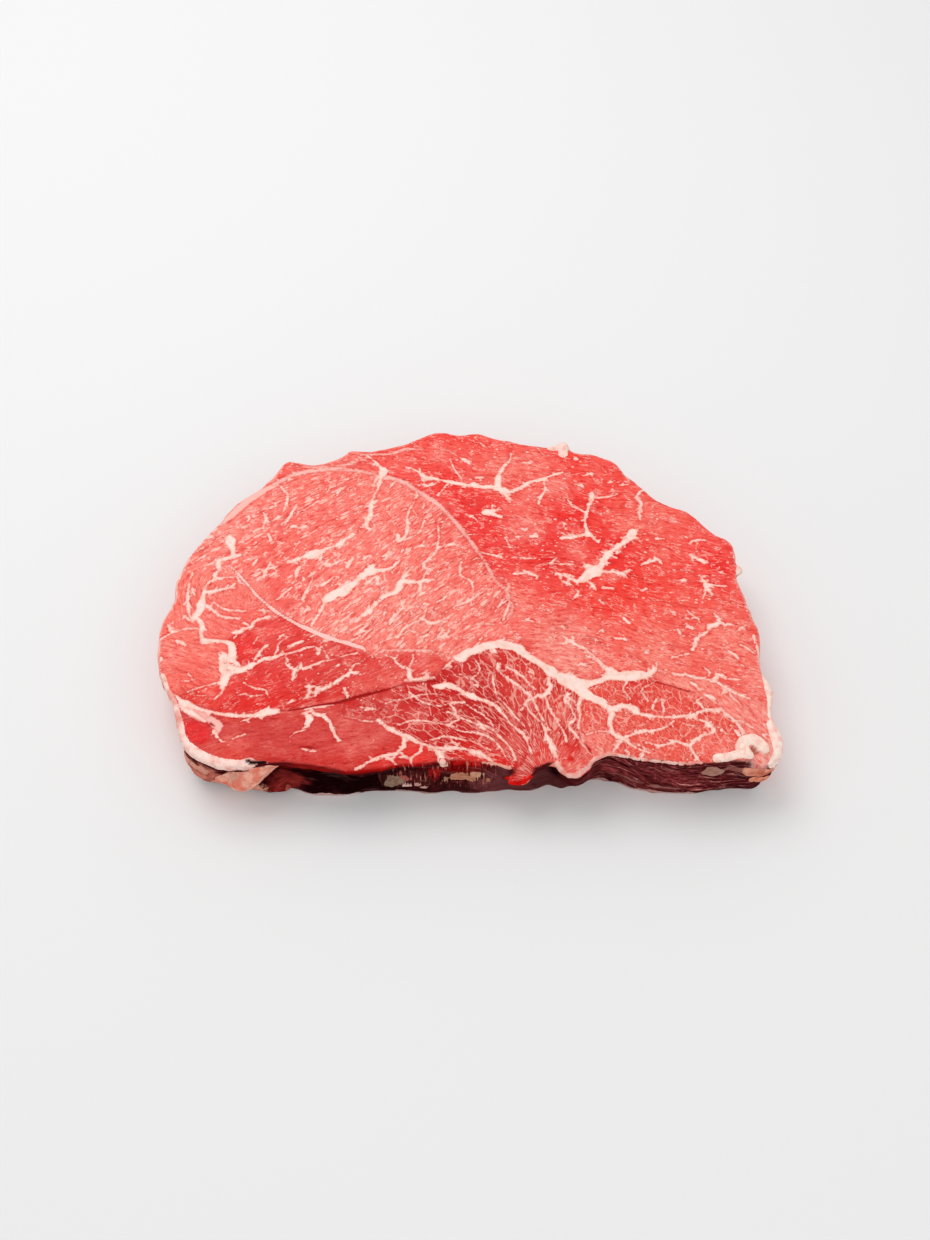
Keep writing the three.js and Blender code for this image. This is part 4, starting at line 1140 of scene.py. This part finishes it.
def meatFinish():
    finish = Finish("raw knuckle meat")
    ease, noise, blend = finish.ease, finish.noise, finish.blend
    stretch, attribute = finish.stretch, finish.attribute
    inMm = stretch(finish.add("ShaderNodeTexCoord", {}, {}, out="Object"), (1000, 1000, 1000))
    grain = attribute("grain", "Vector")
    onFace = attribute("onFace")
    offFace = 1 - onFace
    meaty = attribute("meaty")
    muscle = onFace * meaty
    kinds = finish.add("ShaderNodeSeparateXYZ", {}, {"Vector": attribute("marbling", "Vector")})
    net, longFlecks, shortFlecks = kinds, kinds.output("Y"), kinds.output("Z")
    ragged = noise(inMm, 1.3, 4.0, 0.65) - 0.5

    def alongGrain(scale, detail=2.0, roughness=0.5):  # noise that runs along the fibres or the layers
        return noise(stretch(grain, scale), 1.0, detail, roughness)

    def painted(under, name, share):
        return blend(under, shade(*meatLook[name]), share)

    def shaded(under, name, share):
        return blend(under, meatShades[name], share, "MULTIPLY")

    # muscle: bundles and fibres along the grain
    fibre = alongGrain((0.42, 1.3, 1.0), 4.0, 0.65)
    hair = alongGrain((0.9, 3.2, 1.0), 2.0, 0.6)
    bundle = alongGrain((0.09, 0.5, 1.0))
    cloud = ease(noise(inMm, 0.11, 3.0), 0.5, 0.75) * muscle
    colour = painted(attribute("tint", "Color"), "bloom", cloud * 0.35)
    colour = shaded(colour, "bundle", ease(bundle, 0.5, 0.7) * muscle)
    colour = shaded(colour, "darkFibre", ease(fibre, 0.52, 0.66) * meaty * 0.9)
    colour = shaded(colour, "lightFibre", ease(fibre, 0.48, 0.34) * muscle * 0.9)
    colour = shaded(colour, "lightHair", ease(hair, 0.44, 0.30) * muscle * 0.8)
    colour = shaded(colour, "darkHair", ease(hair, 0.56, 0.70) * muscle * 0.8)

    # the torn wall: pale and dark layers, fine lines and folds in them, and fibres that hang over it
    strata = attribute("strata") * offFace * meaty
    layer = alongGrain((0.10, 0.85, 1.0), 6.0, 0.65)
    line = alongGrain((0.3, 2.8, 1.0), 3.0, 0.6)
    colour = painted(colour, "wallPale", ease(layer, 0.56, 0.63) * strata * 0.6)
    colour = shaded(colour, "darkLayer", ease(layer, 0.47, 0.38) * (strata * 0.8 + 0.2 * offFace))
    colour = shaded(colour, "darkLine", ease(line, 0.52, 0.62) * strata)
    colour = shaded(colour, "lightLine", ease(line, 0.46, 0.36) * strata)
    sway = finish.add("ShaderNodeTexNoise", {}, {"Vector": inMm, "Scale": 0.25}, out="Color")

    def swayed(scale, far):  # the grain, bent in slow waves
        return finish.add("ShaderNodeVectorMath", {"operation": "ADD"}, {
            0: stretch(grain, scale), 1: stretch(sway, far)})

    crumple = finish.cells(swayed((0.24, 0.48, 1.0), (1.6, 1.6, 0.0)), "DISTANCE_TO_EDGE") + ragged * 0.1
    colour = shaded(colour, "lightFold", ease(crumple, 0.08, 0.02) * strata)
    colour = shaded(colour, "darkFold", ease(crumple, 0.12, 0.3) * strata * 0.6)
    fringe = attribute("fringe") * offFace
    comb = alongGrain((1.5, 0.16, 1.0), 3.0, 0.6)
    colour = painted(colour, "threads", ease(comb, 0.57, 0.66) * fringe * meaty * 0.75)
    colour = shaded(colour, "betweenThreads", ease(comb, 0.46, 0.36) * fringe * meaty)

    # lumps, folds and patches, with painted shade in a crease round them on the wall
    greasy = noise(inMm, 0.55, 4.0, 0.6)
    overEdge = attribute("overDepth") + ragged * 0.9 + (comb - 0.5) * fringe * 4
    colour = shaded(colour, "creaseShadow", ease(overEdge, -0.7, -0.1) * offFace * 0.6)
    overTint = shaded(attribute("over", "Color"), "darkGrease", ease(greasy, 0.5, 0.64))
    overTint = shaded(overTint, "lightGrease", ease(greasy, 0.45, 0.33))
    overTint = shaded(overTint, "crack", ease(crumple, 0.09, 0.02) * offFace * 0.5)
    colour = blend(colour, overTint, ease(overEdge, -0.06, 0.12))

    # flecks of fat between the fibres: long ones, short ones and thin threads
    def flecks(length, across, size, amount):
        spots = finish.cells(stretch(grain, (1 / length, 1 / across, 1.0)))
        chance = finish.add("ShaderNodeSeparateColor", {}, {"Color": spots.output("Color")})
        return ease(spots + ragged * 0.3 - (chance * 1.5 - 0.5) * amount * size, 0.0, -0.06)

    thread = abs(alongGrain((0.22, 0.8, 1.0), 3.0, 0.6) - 0.5)
    threads = ease(thread + ragged * 0.05, 0.035, 0.012) * ease(noise(inMm, 0.3, 1.0), 0.46, 0.54)
    fleck = flecks(4.6, 1.2, 0.42, longFlecks) + flecks(1.9, 1.2, 0.36, shortFlecks)
    fleck = fleck + threads * (longFlecks + shortFlecks) * 0.5
    colour = painted(colour, "thinFat", ease(fleck, 0.0, 1.0) * muscle * 0.95)

    # the net of thin fat in the fan
    webEdge = finish.cells(swayed((0.12, 0.44, 1.0), (0.9, 1.3, 0.0)), "DISTANCE_TO_EDGE") + ragged * 0.06
    broken = ease(noise(inMm, 0.4, 1.0), 0.38, 0.48)
    web = ease(webEdge, net * 0.06 + 0.002, net * 0.02) * ease(net, 0.0, 0.8) * broken
    colour = painted(colour, "net", web * 0.62)

    # skins, fat and tendon, each with painted shade along its edge, then splits, with painted shade beside
    # them and a dark red that is partly painted shade in the gap
    skin = attribute("skin")
    colour = shaded(colour, "besideSkin", ease(skin + ragged, -1.1, -0.5) * onFace * 0.5)
    colour = painted(colour, "skin", ease(skin + ragged * 1.3 + (0.5 - fibre) * 1.2, -0.4, 0.35) * 0.85)
    fat = attribute("fat")
    colour = shaded(colour, "besideFat", ease(fat + ragged * 0.6, -0.8, -0.2) * 0.6)
    fat = fat + ragged * 0.9 + (0.5 - fibre) * 0.9
    fatty = ease(fat, -0.2, 0.14)
    creamy = painted(shade(*meatLook["thinFat"]), "fat", ease(fat, 0.0, 0.5))
    creamy = shaded(creamy, "creamSpot", ease(greasy, 0.48, 0.62))
    colour = blend(colour, creamy, fatty)
    tendon = attribute("tendon") + ragged * 0.3
    colour = shaded(colour, "besideTendon", ease(tendon, -0.5, -0.15) * 0.6)
    colour = painted(colour, "tendon", ease(tendon, -0.16, 0.1) * 0.9)
    split = attribute("split") + ragged * 0.3
    colour = shaded(colour, "besideSplit", ease(split, -0.6, -0.1) * 0.5)
    colour = painted(colour, "split", ease(split, -0.16, 0.06))

    height = fibre * 0.5 + bundle * 0.4 + fatty * 0.2 + ragged * 0.35 + web * 0.1
    return finish.surface({
        "Base Color": colour,
        "Roughness": noise(inMm, 0.8, 2.0) * 0.2 + offFace * 0.15 + (meatLook["roughness"] - 0.1),
        "Normal": finish.add("ShaderNodeBump", {}, {
            "Strength": meatLook["bump"], "Distance": meatLook["bumpDepth"], "Height": height}),
        "Specular IOR Level": 0.0,
        "Coat Weight": (onFace * 0.75 + ease(greasy, 0.55, 0.75) * 0.25) * meatLook["wet"],
        "Coat Roughness": meatLook["wetRoughness"],
    })


fatSheet = paintFat()
splitSheet = paintPlain(splits, 1.2, 72)
body = makeBody(fatSheet, splitSheet)
paintBody(body, fatSheet, splitSheet)
body.data.materials.clear()
body.data.materials.append(meatFinish())
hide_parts(steak["node"])
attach(body, "root")

# Floor, light and camera

studio = {
    "floor": (236, 236, 236),
    "floorHalf": 3.0,  # m
    "world": 0.72,
    "key": {"at": (-0.25, 0.35, 0.75), "size": 0.6, "power": 2.6},
    "fill": {"at": (0.35, -0.55, 0.6), "size": 0.8, "power": 0.7},
    "camera": {"at": (0.00034, -0.20987, 0.3461), "tilt": 31.4, "lens": 38.03, "sensor": 36},
}


def makeFloor():
    work = bmesh.new()
    bmesh.ops.create_grid(work, x_segments=1, y_segments=1, size=studio["floorHalf"])
    mesh = bpy.data.meshes.new("floor")
    work.to_mesh(mesh)
    work.free()
    floor = bpy.data.objects.new("floor", mesh)
    bpy.context.collection.objects.link(floor)
    matt = Finish("pale floor").surface({"Base Color": shade(*studio["floor"]), "Roughness": 0.9})
    mesh.materials.append(matt)


def makeLight(name, light):
    lamp = bpy.data.lights.new(name, "AREA")
    lamp.shape = "DISK"
    lamp.size = light["size"]
    lamp.energy = light["power"]
    holder = bpy.data.objects.new(name, lamp)
    holder.location = light["at"]
    holder.rotation_euler = (-Vector(light["at"])).to_track_quat("-Z", "Y").to_euler()
    bpy.context.collection.objects.link(holder)


def makeCamera():
    view = studio["camera"]
    camera = bpy.data.objects.new("camera", bpy.data.cameras.new("camera"))
    camera.data.lens = view["lens"]
    camera.data.sensor_width = view["sensor"]
    camera.data.clip_start = 0.01
    camera.location = view["at"]
    camera.rotation_euler = (math.radians(view["tilt"]), 0, 0)
    bpy.context.collection.objects.link(camera)
    bpy.context.scene.camera = camera


makeFloor()
makeLight("key light", studio["key"])
makeLight("fill light", studio["fill"])
makeCamera()
world = bpy.data.worlds.new("studio")
world.use_nodes = True
background = world.node_tree.nodes["Background"]
background.inputs["Color"].default_value = (1, 1, 1, 1)
background.inputs["Strength"].default_value = studio["world"]
bpy.context.scene.world = world
bpy.context.scene.view_settings.view_transform = "Standard"
print("studio ready")
